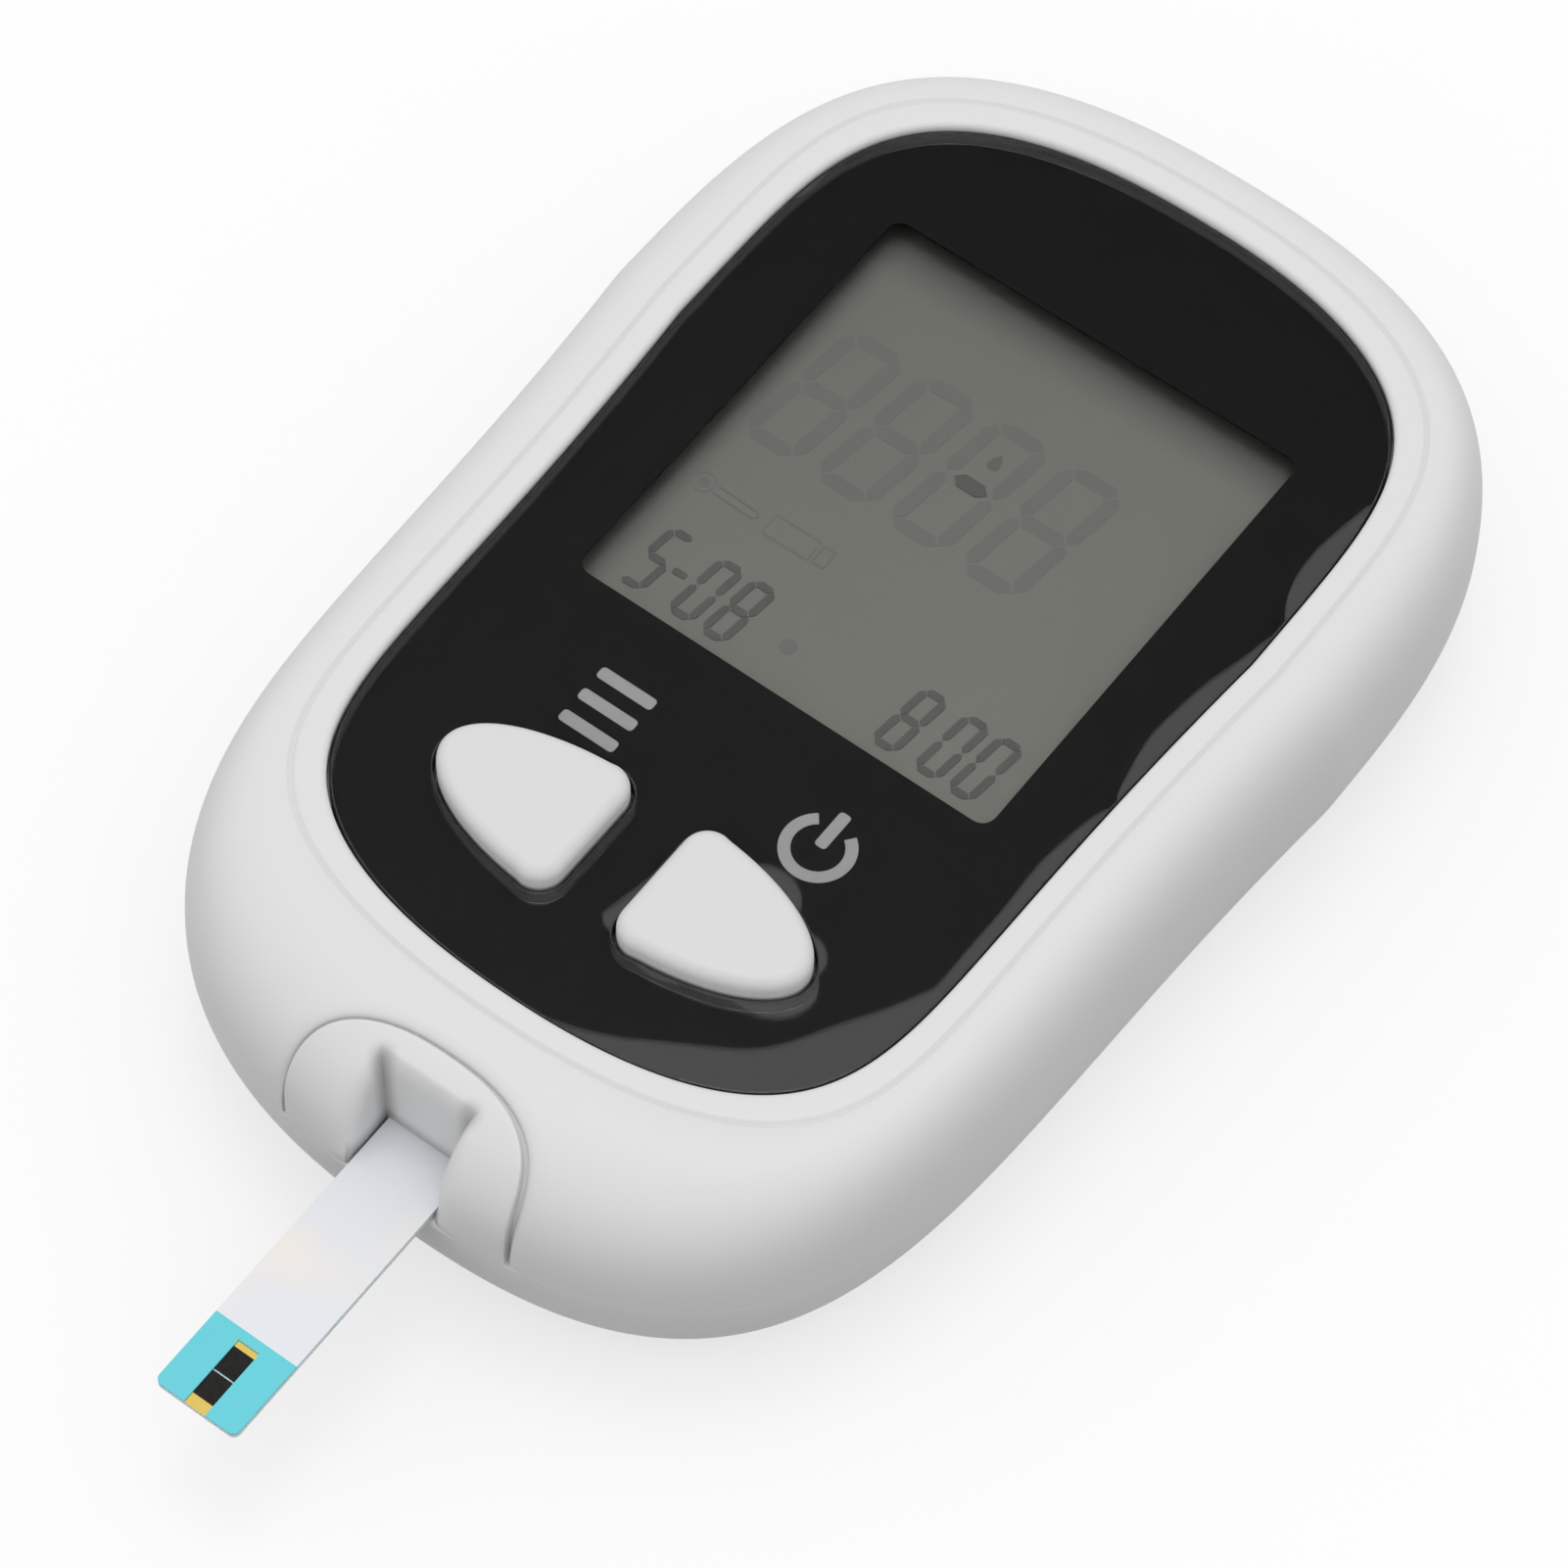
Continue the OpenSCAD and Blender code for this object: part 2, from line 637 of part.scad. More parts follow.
module mask_film() {
    color(BLACK) difference() {
        translate([0, 0, seat_z]) linear_extrude(film_t) polygon(ring(FACE));
        key_openings(seat_z - 1, film_top + 1);
        window_cut(0, seat_z - 1, film_top + 1);
    }
}

module lcd_sheet(y_low, z_low, t) {
    translate([-glass_w / 2, y_low, z_low]) cube([glass_w, glass_up - y_low, t]);
}

module lcd_gasket() {
    color(BLACK) difference() {
        lcd_sheet(glass_down, deck_z - gasket_t, gasket_t);
        window_cut(0.8, deck_z - 1, deck_z + 1);
    }
}

module lcd_polariser() {
    color([0.45, 0.45, 0.42]) lcd_sheet(glass_down, glass_top, polar_t);
}

module lcd_front_glass() {
    color(CLEAR) lcd_sheet(ledge_down, glass_mid, glass_t);
}

module lcd_rear_glass() {
    color(CLEAR) lcd_sheet(glass_down, glass_low, glass_t);
}

module lcd_reflector() {
    color([0.6, 0.6, 0.58]) lcd_sheet(glass_down, mirror_z, polar_t);
}

module lcd_frame() {
    low = ledge_down - frame_gap - frame_wall;
    half = glass_w / 2 + frame_gap + frame_wall;
    bar = frame_wall + 1;
    color([0.2, 0.2, 0.2]) difference() {
        translate([-half, low, board_top]) cube([2 * half, frame_up - low, glass_top - board_top]);
        // Seat of the glass
        translate([-glass_w / 2 - frame_gap, ledge_down - frame_gap, mirror_z])
            cube([glass_w + 2 * frame_gap, glass_up - ledge_down + 2 * frame_gap, past]);
        // Open middle
        translate([bar - half, glass_down + 0.8, board_top - 1])
            cube([2 * (half - bar), frame_up - bar - glass_down - 0.8, past + glass_top - board_top]);
        // Channel of the zebra connector
        translate([bar - half, ledge_down + frame_gap, board_top - 1])
            cube([2 * (half - bar), ledge_w - 2 * frame_gap, past + glass_top - board_top]);
    }
}

module zebra_connector() {
    color([0.85, 0.55, 0.65])
        translate([-glass_w / 2 + 1, ledge_down + frame_gap + 0.1, board_top])
            cube([glass_w - 2, ledge_w - 2 * frame_gap - 0.2, glass_mid - board_top]);
}

// ---- Electronics ----

module circuit_board() {
    color([0.08, 0.35, 0.2]) difference() {
        translate([0, 0, board_z]) linear_extrude(board_t) polygon(ring(grow(BODY, -wall - board_gap)));
        at_housing_screws() translate([0, 0, board_z - 1])
            cylinder(h = board_t + 2, r = boss_r + screw_gap, $fn = 48);
        at_board_screws() translate([0, 0, board_z - 1])
            cylinder(h = board_t + 2, r = board_shank_r + 0.15, $fn = 32);
    }
}

module microcontroller() {
    leg_pitch = 0.8;
    leg_w = 0.3;
    rows = floor((chip_w / 2 - 1) / leg_pitch);
    translate([0, chip_y, board_top]) {
        color(BLACK) translate([-chip_w / 2, -chip_w / 2, 0.1]) cube([chip_w, chip_w, 1.4]);
        color(STEEL) for (turn = [0 : 3]) rotate([0, 0, 90 * turn])
            for (i = [-rows : rows]) translate([chip_w / 2, i * leg_pitch - leg_w / 2, 0])
                cube([1, leg_w, 0.7]);
    }
}

module board_components() {
    color([0.75, 0.7, 0.6]) for (side = [0, 1], row = [0 : 2], i = [0 : 2])
        mirror([side, 0, 0]) translate([parts_x + parts_pitch * i, parts_y - parts_pitch * row, board_top])
            cube([1.6, 0.8, 0.7]);
}

module buzzer() {
    color(BLACK) translate([-buzzer_x, -buzzer_y, board_top]) difference() {
        cylinder(h = buzzer_h, r = buzzer_r, $fn = 64);
        translate([0, 0, buzzer_h - 1]) cylinder(h = past, r = buzzer_r / 5, $fn = 32);
    }
}

module switch_body() {
    color([0.15, 0.15, 0.15]) difference() {
        translate([key_mid - switch_w / 2, -key_y - switch_w / 2, board_top])
            cube([switch_w, switch_w, switch_h]);
        translate([key_mid, -key_y, switch_top - 0.5 - key_travel - 0.1])
            cylinder(h = past, r = plunger_r + plunger_gap, $fn = 48);
    }
}

module left_switch() {
    mirror([1, 0, 0]) switch_body();
}

module right_switch() {
    switch_body();
}

module plunger() {
    color([0.3, 0.3, 0.3]) translate([key_mid, -key_y, switch_top - 0.5])
        cylinder(h = plunger_h + 0.5, r = plunger_r, $fn = 48);
}

module left_plunger() {
    mirror([1, 0, 0]) plunger();
}

module right_plunger() {
    plunger();
}

// A key: a hollow bowed cap with a flange under the deck, and the ribbed stem that meets the plunger
module key() {
    straight_z = key_top - key_round;
    hollow_top = key_top - key_wall;
    stem_r = plunger_r - 0.2;
    roll = [for (i = [0 : 4]) let (a = 22.5 * i)
        lift(key_outline(-key_round * (1 - cos(a))), straight_z + key_round * sin(a))];
    color(WHITE) union() {
        difference() {
            union() {
                skin(concat([lift(key_outline(0), flange_low)], roll));
                translate([0, 0, flange_low]) linear_extrude(flange_t) polygon(key_outline(flange_w));
            }
            translate([0, 0, flange_low - past]) linear_extrude(hollow_top - flange_low + past)
                polygon(key_outline(-key_wall));
        }
        translate([key_mid, -key_y, switch_top + plunger_h])
            cylinder(h = hollow_top - switch_top - plunger_h + fuse, r = stem_r, $fn = 48);
        for (run = [[key_in + key_wall - fuse, key_mid - stem_r + fuse],
                [key_mid + stem_r - fuse, key_in + key_len - key_wall + fuse]])
            translate([run[0], -key_y - rib_t / 2, flange_top])
                cube([run[1] - run[0], rib_t, hollow_top - flange_top + fuse]);
    }
}

module left_button() {
    mirror([1, 0, 0]) key();
}

module right_button() {
    key();
}

// Where contact i of the row lies across the strip
function contact_at(i) = (i - (contact_count - 1) / 2) * contact_pitch;

module strip_connector() {
    slot_low = strip_z - strip_gap;
    color([0.12, 0.12, 0.12]) difference() {
        translate([-connector_half, connector_front, board_top])
            cube([2 * connector_half, connector_back - connector_front, connector_top - board_top]);
        translate([-strip_w / 2 - strip_gap, connector_front - 1, slot_low])
            cube([strip_w + 2 * strip_gap, strip_end + 1.2 - connector_front,
                strip_top + strip_gap - slot_low]);
        for (i = [0 : contact_count - 1])
            translate([contact_at(i) - contact_w / 2 - 0.1, connector_front + 1, strip_mid])
                cube([contact_w + 0.2, connector_back - connector_front, past]);
    }
}

// Spring contacts: each dips onto the strip and ends in a tail on the board
module strip_contacts() {
    touch = strip_mid + 0.1;
    front = connector_front + 1.4;
    tail = connector_back + 0.3;
    color(GOLD) for (i = [0 : contact_count - 1])
        leaf([[front, touch + 0.9], [front + 1.4, touch], [front + 2, touch], [tail - 0.4, touch + 1.5],
            [tail, touch + 1.3], [tail, board_top], [tail + 1, board_top]],
            leaf_t, contact_at(i) - contact_w / 2, contact_w);
}

// ---- Test strip ----

// A layer of the strip from y_low, with round corners there, to y_high
module strip_layer(y_low, y_high, z, t, r) {
    translate([0, 0, z]) union() {
        translate([-strip_w / 2, y_low + r, 0]) cube([strip_w, y_high - y_low - r, t]);
        translate([r - strip_w / 2, y_low, 0]) cube([strip_w - 2 * r, 2 * r, t]);
        for (x = [r - strip_w / 2, strip_w / 2 - r]) translate([x, y_low + r, 0])
            cylinder(h = t, r = r, $fn = 48);
    }
}

module test_strip() {
    color(WHITE) strip_layer(strip_tip, strip_end, strip_z, strip_base_t, strip_r);
}

module strip_cover() {
    start = strip_tip + strip_end_l;
    color(WHITE) translate([-strip_w / 2, start, strip_mid])
        cube([strip_w, notch_y + cover_in - start, strip_film_t]);
}

module strip_end_cover() {
    color([0.4, 0.84, 0.87]) difference() {
        strip_layer(strip_tip, strip_tip + strip_end_l, strip_mid, strip_film_t, strip_r);
        translate([-react_w / 2, strip_tip - 1, strip_mid - 1]) cube([react_w, react_l + 1, past]);
    }
}

module strip_electrodes() {
    track_t = 0.04;
    color(GOLD) {
        for (i = [0 : contact_count - 1])
            translate([contact_at(i) - 0.4, notch_y + cover_in, strip_mid])
                cube([0.8, strip_end - notch_y - cover_in, track_t]);
        translate([-react_w / 2, strip_tip, strip_mid]) cube([react_w, gold_out, track_t]);
        translate([-react_w / 2, strip_tip + react_l - gold_in, strip_mid])
            cube([react_w, gold_in, track_t]);
    }
}

// Two dark pads between the gold bands
module strip_reagent() {
    pad_t = 0.06;
    pad_gap = 0.12;
    pad_l = (react_l - gold_out - gold_in - pad_gap) / 2;
    color(BLACK) for (i = [0, 1])
        translate([-react_w / 2, strip_tip + gold_out + i * (pad_l + pad_gap), strip_mid])
            cube([react_w, pad_l, pad_t]);
}

// ---- Battery ----

module battery_door() {
    tongue_half = 4;
    cut_w = 0.5;
    cut_l = 4.5;
    bead = door_gap - 0.1;
    color(WHITE) difference() {
        union() {
            translate([-door_w / 2, latch_y, door_low]) cube([door_w, hinge_y - latch_y, door_t]);
            translate([-door_w / 2, hinge_y, hinge_z]) rotate([0, 90, 0])
                cylinder(h = door_w, r = barrel_r, $fn = 48);
            translate([-door_w / 2 - pin_l, hinge_y, hinge_z]) rotate([0, 90, 0])
                cylinder(h = door_w + 2 * pin_l, r = pin_r, $fn = 32);
            // Bead that clicks under the edge of the bay
            translate([-tongue_half + 0.5, latch_y - bead, door_top - 0.5])
                cube([2 * tongue_half - 1, 1, 0.5]);
        }
        // Slots that free the latch tongue
        for (x = [-tongue_half - cut_w, tongue_half]) translate([x, latch_y - 1, -1])
            cube([cut_w, cut_l + 1, past]);
        // Grip grooves across the tongue
        for (i = [0 : 2]) translate([-3, latch_y + 1 + 1.3 * i, door_low - 1]) cube([6, 0.6, 1.3]);
    }
}

module coin_cell() {
    color(STEEL) translate([0, cell_y, cell_low]) union() {
        cylinder(h = cell_t - 0.25, r = cell_r, $fn = 96);
        translate([0, 0, cell_t - 0.25]) cylinder(h = 0.25, r = cell_r - 1.2, $fn = 96);
    }
}

// Leaf contact that presses on the can's side, from the bay up to the board
module cell_contact_side() {
    touch = cell_r + 0.02;
    color(STEEL) translate([0, cell_y, 0]) rotate([0, 0, -90])
        leaf([[touch + 0.6, cell_low], [touch, cell_low + 1.2], [touch, cell_low + 1.8],
            [touch + 1, board_z - 0.8], [touch + 1, board_z]], -leaf_t, -2.2, 4.4);
}

// Leaf contact under the bay's roof that presses on the cell, with its tail up to the board
module cell_contact_top() {
    touch = cell_top + 0.02;
    under_roof = bay_roof - leaf_t - 0.02;
    step = cell_tail / 6;
    color(STEEL) translate([0, cell_y, 0])
        leaf([[-4 * step, touch + 0.4], [-3 * step, touch], [-2 * step, touch],
            [3 * step, under_roof], [cell_tail, under_roof], [cell_tail, board_z]], leaf_t, -1.5, 3);
}

// ---- Fasteners ----

// The driver's cross in a screw head of radius r
module cross_slot(r, z, h) {
    for (turn = [0, 90]) rotate([0, 0, turn]) translate([-r * 0.6, -0.2, z]) cube([r * 1.2, 0.4, h]);
}

module housing_screws() {
    color(STEEL) at_housing_screws() difference() {
        union() {
            translate([0, 0, head_seat - head_h]) cylinder(h = head_h, r = head_r, $fn = 48);
            translate([0, 0, head_seat]) cylinder(h = part_z - head_seat + 3.4, r = shank_r, $fn = 32);
        }
        cross_slot(head_r, 0, head_seat - head_h + 0.6);
    }
}

module board_screws() {
    color(STEEL) at_board_screws() difference() {
        union() {
            translate([0, 0, board_top]) cylinder(h = 1, r = board_head_r, $fn = 48);
            translate([0, 0, board_z - board_screw_l])
                cylinder(h = board_screw_l + board_t + fuse, r = board_shank_r, $fn = 32);
        }
        cross_slot(board_head_r, board_top + 0.5, 1);
    }
}

front_housing();
rear_housing();
port_bezel();
face_lens();
mask_film();
lcd_gasket();
lcd_polariser();
lcd_front_glass();
lcd_rear_glass();
lcd_reflector();
lcd_frame();
zebra_connector();
circuit_board();
microcontroller();
board_components();
buzzer();
left_switch();
right_switch();
left_plunger();
right_plunger();
left_button();
right_button();
strip_connector();
strip_contacts();
test_strip();
strip_cover();
strip_end_cover();
strip_electrodes();
strip_reagent();
battery_door();
coin_cell();
cell_contact_side();
cell_contact_top();
housing_screws();
board_screws();
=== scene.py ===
"""A pocket blood glucose meter with its test strip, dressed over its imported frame."""
import json
import math
from typing import NamedTuple

import bmesh
import bpy
import numpy as np
from bpy.props import FloatProperty, FloatVectorProperty, PointerProperty
from mathutils import Matrix, Vector
from mathutils.geometry import delaunay_2d_cdt


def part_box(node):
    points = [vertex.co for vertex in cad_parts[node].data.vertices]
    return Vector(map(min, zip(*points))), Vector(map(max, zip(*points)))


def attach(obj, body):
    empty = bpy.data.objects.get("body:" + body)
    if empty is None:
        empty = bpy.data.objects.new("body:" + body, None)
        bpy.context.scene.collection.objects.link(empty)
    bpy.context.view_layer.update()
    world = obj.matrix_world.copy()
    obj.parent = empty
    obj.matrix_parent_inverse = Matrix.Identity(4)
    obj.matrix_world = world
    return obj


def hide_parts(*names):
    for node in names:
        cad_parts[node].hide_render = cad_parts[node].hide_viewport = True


bl_info = {
    "name": "Glucose Meter",
    "version": (1, 0, 0),
    "blender": (4, 5, 0),
    "location": "View3D > Sidebar > Meter",
    "description": "Builds the housings, face, display, keys, strip port and finishes of a blood glucose meter",
    "category": "Add Mesh",
}

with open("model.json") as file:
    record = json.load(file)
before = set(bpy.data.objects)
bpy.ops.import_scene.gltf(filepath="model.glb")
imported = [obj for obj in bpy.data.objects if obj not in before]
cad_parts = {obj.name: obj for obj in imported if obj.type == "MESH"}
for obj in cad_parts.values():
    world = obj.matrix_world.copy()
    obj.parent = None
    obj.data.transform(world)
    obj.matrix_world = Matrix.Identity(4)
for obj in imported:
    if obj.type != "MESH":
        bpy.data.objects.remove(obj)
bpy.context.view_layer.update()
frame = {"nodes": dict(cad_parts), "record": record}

# ---- Sizes, in millimetres ----

MM = 0.001
# Points nearer than this are merged, in metres
MERGE = 1e-7
# Change of an angle over which a surface's slope is taken
STEP = 1e-4


def box_mm(node):
    """The lowest and highest corners of a node, in millimetres."""
    low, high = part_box(node)
    return np.array(low) / MM, np.array(high) / MM


REAR_LOW, REAR_HIGH = box_mm("rear_housing")
FRONT_LOW, FRONT_HIGH = box_mm("front_housing")
FACE_LOW, FACE_HIGH = box_mm("face_lens")
PRINT_LOW, PRINT_HIGH = box_mm("mask_film")
POLAR_LOW, POLAR_HIGH = box_mm("lcd_polariser")
KEY_LOW, KEY_HIGH = box_mm("right_button")
DOOR_LOW, DOOR_HIGH = box_mm("battery_door")
CELL_LOW, CELL_HIGH = box_mm("coin_cell")
SCREW_LOW, SCREW_HIGH = box_mm("housing_screws")
STRIP_LOW, STRIP_HIGH = box_mm("test_strip")


class Outline(NamedTuple):
    """A closed outline in plan: two superellipse halves that meet at wide_y. It is half wide to each side there,
    up and down are its lengths from there, taper and waist narrow its lower half with the distance and with its
    square, and each half has a power for its sides and one for its end."""
    wide_y: float
    half: float
    up: float
    down: float
    taper: float
    waist: float
    side_up: float
    end_up: float
    side_down: float
    end_down: float

    def grown(self, by):
        """The outline moved outwards by a distance."""
        return self._replace(half=self.half + by, up=self.up + by, down=self.down + by)


BODY_WIDE_Y = 11.5
FACE_WIDE_Y = BODY_WIDE_Y - 1.3
BODY = Outline(BODY_WIDE_Y, REAR_HIGH[0], REAR_HIGH[1] - BODY_WIDE_Y, BODY_WIDE_Y - REAR_LOW[1],
               0.092, 0.0019, 2.46, 3.22, 2.5, 4.98)
FACE = Outline(FACE_WIDE_Y, FACE_HIGH[0], FACE_HIGH[1] - FACE_WIDE_Y, FACE_WIDE_Y - FACE_LOW[1],
               0.0794, 0.0016, 2.34, 4.7, 2.19, 9.0)
PART_Z = FRONT_LOW[2]
RIM_Z = FRONT_HIGH[2]
FACE_Z = FACE_HIGH[2]
SEAT_Z = PRINT_LOW[2]
DECK_Z = POLAR_HIGH[2] + 0.2
PORT_Y = BODY_WIDE_Y - BODY.down
WALL = 1.8
SHOULDER_POWER = 2.6
# How far the rear shell draws in towards the flat back, and the power of that round
BACK_ROUND = 4.4
BACK_POWER = 1.06

# The arched port insert, the gap round it, how far it stands proud, its notch and the strip's slot
ARCH_HALF = 8.7
ARCH_POWER = 2.4
ARCH_FOOT = PORT_Y + 0.3
ARCH_CROWN = PORT_Y + 6.3
ARCH_GAP = 0.35
INSERT_RISE = 0.25
NOTCH_HALF = 3.3
NOTCH_BACK = PORT_Y + 3.95
SLOT_HALF = STRIP_HIGH[0] + 0.1
SLOT_H = 0.86

# The display window in the black print
WINDOW_HALF = 16.0
WINDOW_LOW = -9.1
WINDOW_UP = 25.1
WINDOW_R = 1.0

# The right-hand key: its straight side's x, its size, its corners, and the gap and flange round it
KEY_IN = 2.3
KEY_LEN = 11.7
KEY_H = 9.8
KEY_R = 1.8
KEY_POWER = 2.0
KEY_Y = (KEY_LOW[1] + KEY_HIGH[1]) / 2
KEY_GAP = 0.22
FLANGE_W = 0.7
FLANGE_T = 0.8


# ---- Properties ----

class MeterSizes(bpy.types.PropertyGroup):
    """Sizes of the visible edges and marks."""
    groove_width: FloatProperty(
        name="Groove width", description="Width of the fine groove round the face",
        default=0.5 * MM, unit="LENGTH")
    groove_depth: FloatProperty(
        name="Groove depth", description="Depth of the fine groove",
        default=0.2 * MM, unit="LENGTH")
    groove_out: FloatProperty(
        name="Groove offset", description="Distance of the groove from the face",
        default=1.9 * MM, unit="LENGTH")
    lip_radius: FloatProperty(
        name="Lip radius", description="Rounding of the rim where it meets the face",
        default=0.42 * MM, unit="LENGTH")
    gap_reach: FloatProperty(
        name="Gap reach", description="How far the front shell rounds over towards the port insert",
        default=1.1 * MM, unit="LENGTH")
    gap_drop: FloatProperty(
        name="Gap drop", description="How far that rounding drops at the gap",
        default=0.42 * MM, unit="LENGTH")
    gap_depth: FloatProperty(
        name="Gap depth", description="Depth of the gap's floor below the front shell's surface",
        default=0.62 * MM, unit="LENGTH")
    insert_radius: FloatProperty(
        name="Insert radius", description="Rounding of the port insert's outer edge",
        default=0.15 * MM, unit="LENGTH")
    seam_radius: FloatProperty(
        name="Seam radius", description="Rounding of both shells' edges at the parting line",
        default=0.015 * MM, unit="LENGTH")
    port_lead: FloatProperty(
        name="Port lead", description="Rounding of the rear shell's edge under the port",
        default=0.4 * MM, unit="LENGTH")
    lobe_reach: FloatProperty(
        name="Lobe reach", description="How far the insert's lobes round over towards the strip at the front",
        default=1.5 * MM, unit="LENGTH")
    lobe_drop: FloatProperty(
        name="Lobe drop", description="How far that rounding drops at the front of the notch",
        default=0.9 * MM, unit="LENGTH")
    back_reach: FloatProperty(
        name="Back reach", description="How far the notch's back and corners round over towards the strip",
        default=0.56 * MM, unit="LENGTH")
    back_drop: FloatProperty(
        name="Back drop", description="How far the roundings drop at the back of the notch",
        default=1.7 * MM, unit="LENGTH")
    key_round: FloatProperty(
        name="Key rounding", description="Rounding of a key's upper edge",
        default=0.95 * MM, unit="LENGTH")
    key_crown: FloatProperty(
        name="Key crown", description="How far a key's top swells towards its middle",
        default=0.08 * MM, unit="LENGTH")
    sheet_edge: FloatProperty(
        name="Sheet edge", description="Rounding of the clear sheet's edges",
        default=0.07 * MM, unit="LENGTH")
    digit_stroke: FloatProperty(
        name="Digit stroke", description="Stroke of the large digits",
        default=1.05 * MM, unit="LENGTH")


def colour_property(name, description, default):
    """A colour that can be set in the sidebar."""
    return FloatVectorProperty(name=name, description=description, subtype="COLOR", size=3,
                               min=0.0, max=1.0, default=default)


class MeterColours(bpy.types.PropertyGroup):
    """Base colours of the finishes."""
    housing: colour_property("Housing", "White moulding", (0.735, 0.735, 0.735))
    key: colour_property("Keys", "White keys", (0.70, 0.70, 0.70))
    black_print: colour_property("Black print", "Ink behind the clear sheet", (0.0208, 0.0208, 0.0211))
    display: colour_property("Display", "Display ground", (0.213, 0.209, 0.185))
    digit: colour_property("Lit segments", "Segments that are on", (0.112, 0.112, 0.106))
    ghost: colour_property("Unlit segments", "Segments that are off", (0.184, 0.184, 0.172))
    legend: colour_property("Legends", "Silver print beside the keys", (0.43, 0.43, 0.43))
    strip_end: colour_property("Strip end", "Coloured end of the strip", (0.115, 0.63, 0.715))
    gold: colour_property("Gold", "Electrodes and contacts", (0.60, 0.44, 0.11))
    floor: colour_property("Floor", "Pale floor", (0.97, 0.97, 0.97))


def size(name):
    """A size from the sidebar, in millimetres."""
    return getattr(bpy.context.scene.meter_sizes, name) / MM


def colour(name):
    """A colour from the sidebar."""
    return tuple(getattr(bpy.context.scene.meter_colours, name))


# ---- Outlines and surfaces ----

def level(outline, x, y):
    """(|x| / w(y)) ^ m + (|y - wide_y| / end) ^ n - 1: below 0 inside, above 0 outside. w(y) is the half width,
    and below wide_y it changes by taper times the rise plus waist times its square."""
    rise = y - outline.wide_y
    above = rise > 0
    half = outline.half + np.where(above, 0, outline.taper * rise + outline.waist * rise ** 2)
    end = np.where(above, outline.up, outline.down)
    side_power = np.where(above, outline.side_up, outline.side_down)
    end_power = np.where(above, outline.end_up, outline.end_down)
    return (np.abs(x) / half) ** side_power + (np.abs(rise) / end) ** end_power - 1


def reach(outline, angle):
    """Distance from the origin to the outline along the ray at angle from -Y towards +X, by bisection."""
    near = np.zeros(np.shape(angle))
    far = np.full(np.shape(angle), 90.0)
    for _ in range(34):
        middle = (near + far) / 2
        outside = level(outline, middle * np.sin(angle), -middle * np.cos(angle)) > 0
        far = np.where(outside, middle, far)
        near = np.where(outside, near, middle)
    return (near + far) / 2


def on_ray(angle, distance, z):
    """Points at a distance along the rays at angle, at height z."""
    angle, distance, z = np.broadcast_arrays(angle, distance, z)
    return np.stack((distance * np.sin(angle), -distance * np.cos(angle), z), axis=-1)


def shoulder_rings(angle, rise):
    """Distances of the shoulder's inner and outer rings, both grown by rise."""
    inner = reach(FACE.grown(size("groove_out") + size("groove_width") / 2 + rise), angle)
    return inner, reach(BODY.grown(rise), angle)


def shoulder(angle, a, rise=0.0):
    """The superelliptic shoulder: out along the ray by cos(a) ^ (2 / p) between its rings, up by sin(a) ^ (2 / p)."""
    inner, outer = shoulder_rings(angle, rise)
    distance = inner + (outer - inner) * np.cos(a) ** (2 / SHOULDER_POWER)
    return on_ray(angle, distance, PART_Z + (RIM_Z + rise - PART_Z) * np.sin(a) ** (2 / SHOULDER_POWER))


def shoulder_normal(angle, a, rise=0.0):
    """The shoulder's outward unit normal: the cross product of its two slopes."""
    a = np.clip(a, 0.02, math.pi / 2 - 0.02)
    across = shoulder(angle + STEP, a, rise) - shoulder(angle - STEP, a, rise)
    along = shoulder(angle, a + STEP, rise) - shoulder(angle, a - STEP, rise)
    normal = np.cross(across, along)
    return normal / np.linalg.norm(normal, axis=-1, keepdims=True)


def height_angle(height):
    """The shoulder's parameter a at a height above the parting line."""
    return np.arcsin((height / (RIM_Z - PART_Z)) ** (SHOULDER_POWER / 2))


def place_of(x, y, rise):
    """The shoulder's angle and parameter a above the point x, y in plan."""
    angle = np.arctan2(x, -y)
    inner, outer = shoulder_rings(angle, rise)
    share = np.clip((np.hypot(x, y) - inner) / (outer - inner), 0, 1)
    return angle, np.arccos(share ** (SHOULDER_POWER / 2))


def lay(x, y, rise, low_a, count, ends=(0, -1)):
    """A line drawn in plan, laid on the shoulder above parameter low_a with its ends brought down to it, and
    spaced evenly: its angle and parameter."""
    angle, a = place_of(x, y, rise)
    keep = a >= low_a
    angle, a = angle[keep], a[keep]
    a[list(ends)] = low_a
    steps = np.linalg.norm(np.diff(shoulder(angle, a, rise), axis=0), axis=1)
    length = np.concatenate(([0], np.cumsum(steps)))
    even = np.linspace(0, length[-1], count)
    return np.interp(even, length, angle), np.interp(even, length, a)


def arch_line(grow, count):
    """The superelliptic arch |x / half| ^ p + |(y - foot) / (crown - foot)| ^ p = 1 in plan, grown,
    from its right foot over the crown to its left foot."""
    turn = np.linspace(0, math.pi, count)
    across = np.sign(np.cos(turn)) * np.abs(np.cos(turn)) ** (2 / ARCH_POWER)
    up = np.sin(turn) ** (2 / ARCH_POWER)
    return (ARCH_HALF + grow) * across, ARCH_FOOT + (ARCH_CROWN + grow - ARCH_FOOT) * up


def arch(grow, rise, low_a, count):
    """The arch laid on the shoulder: its angle and parameter."""
    return lay(*arch_line(grow, 6001), rise, low_a, count)


def mix(start, end, share):
    """start (1 - s) + end s."""
    return start + (end - start) * share


def ease(share):
    """3 s ^ 2 - 2 s ^ 3 between 0 and 1."""
    share = np.clip(share, 0, 1)
    return share ** 2 * (3 - 2 * share)


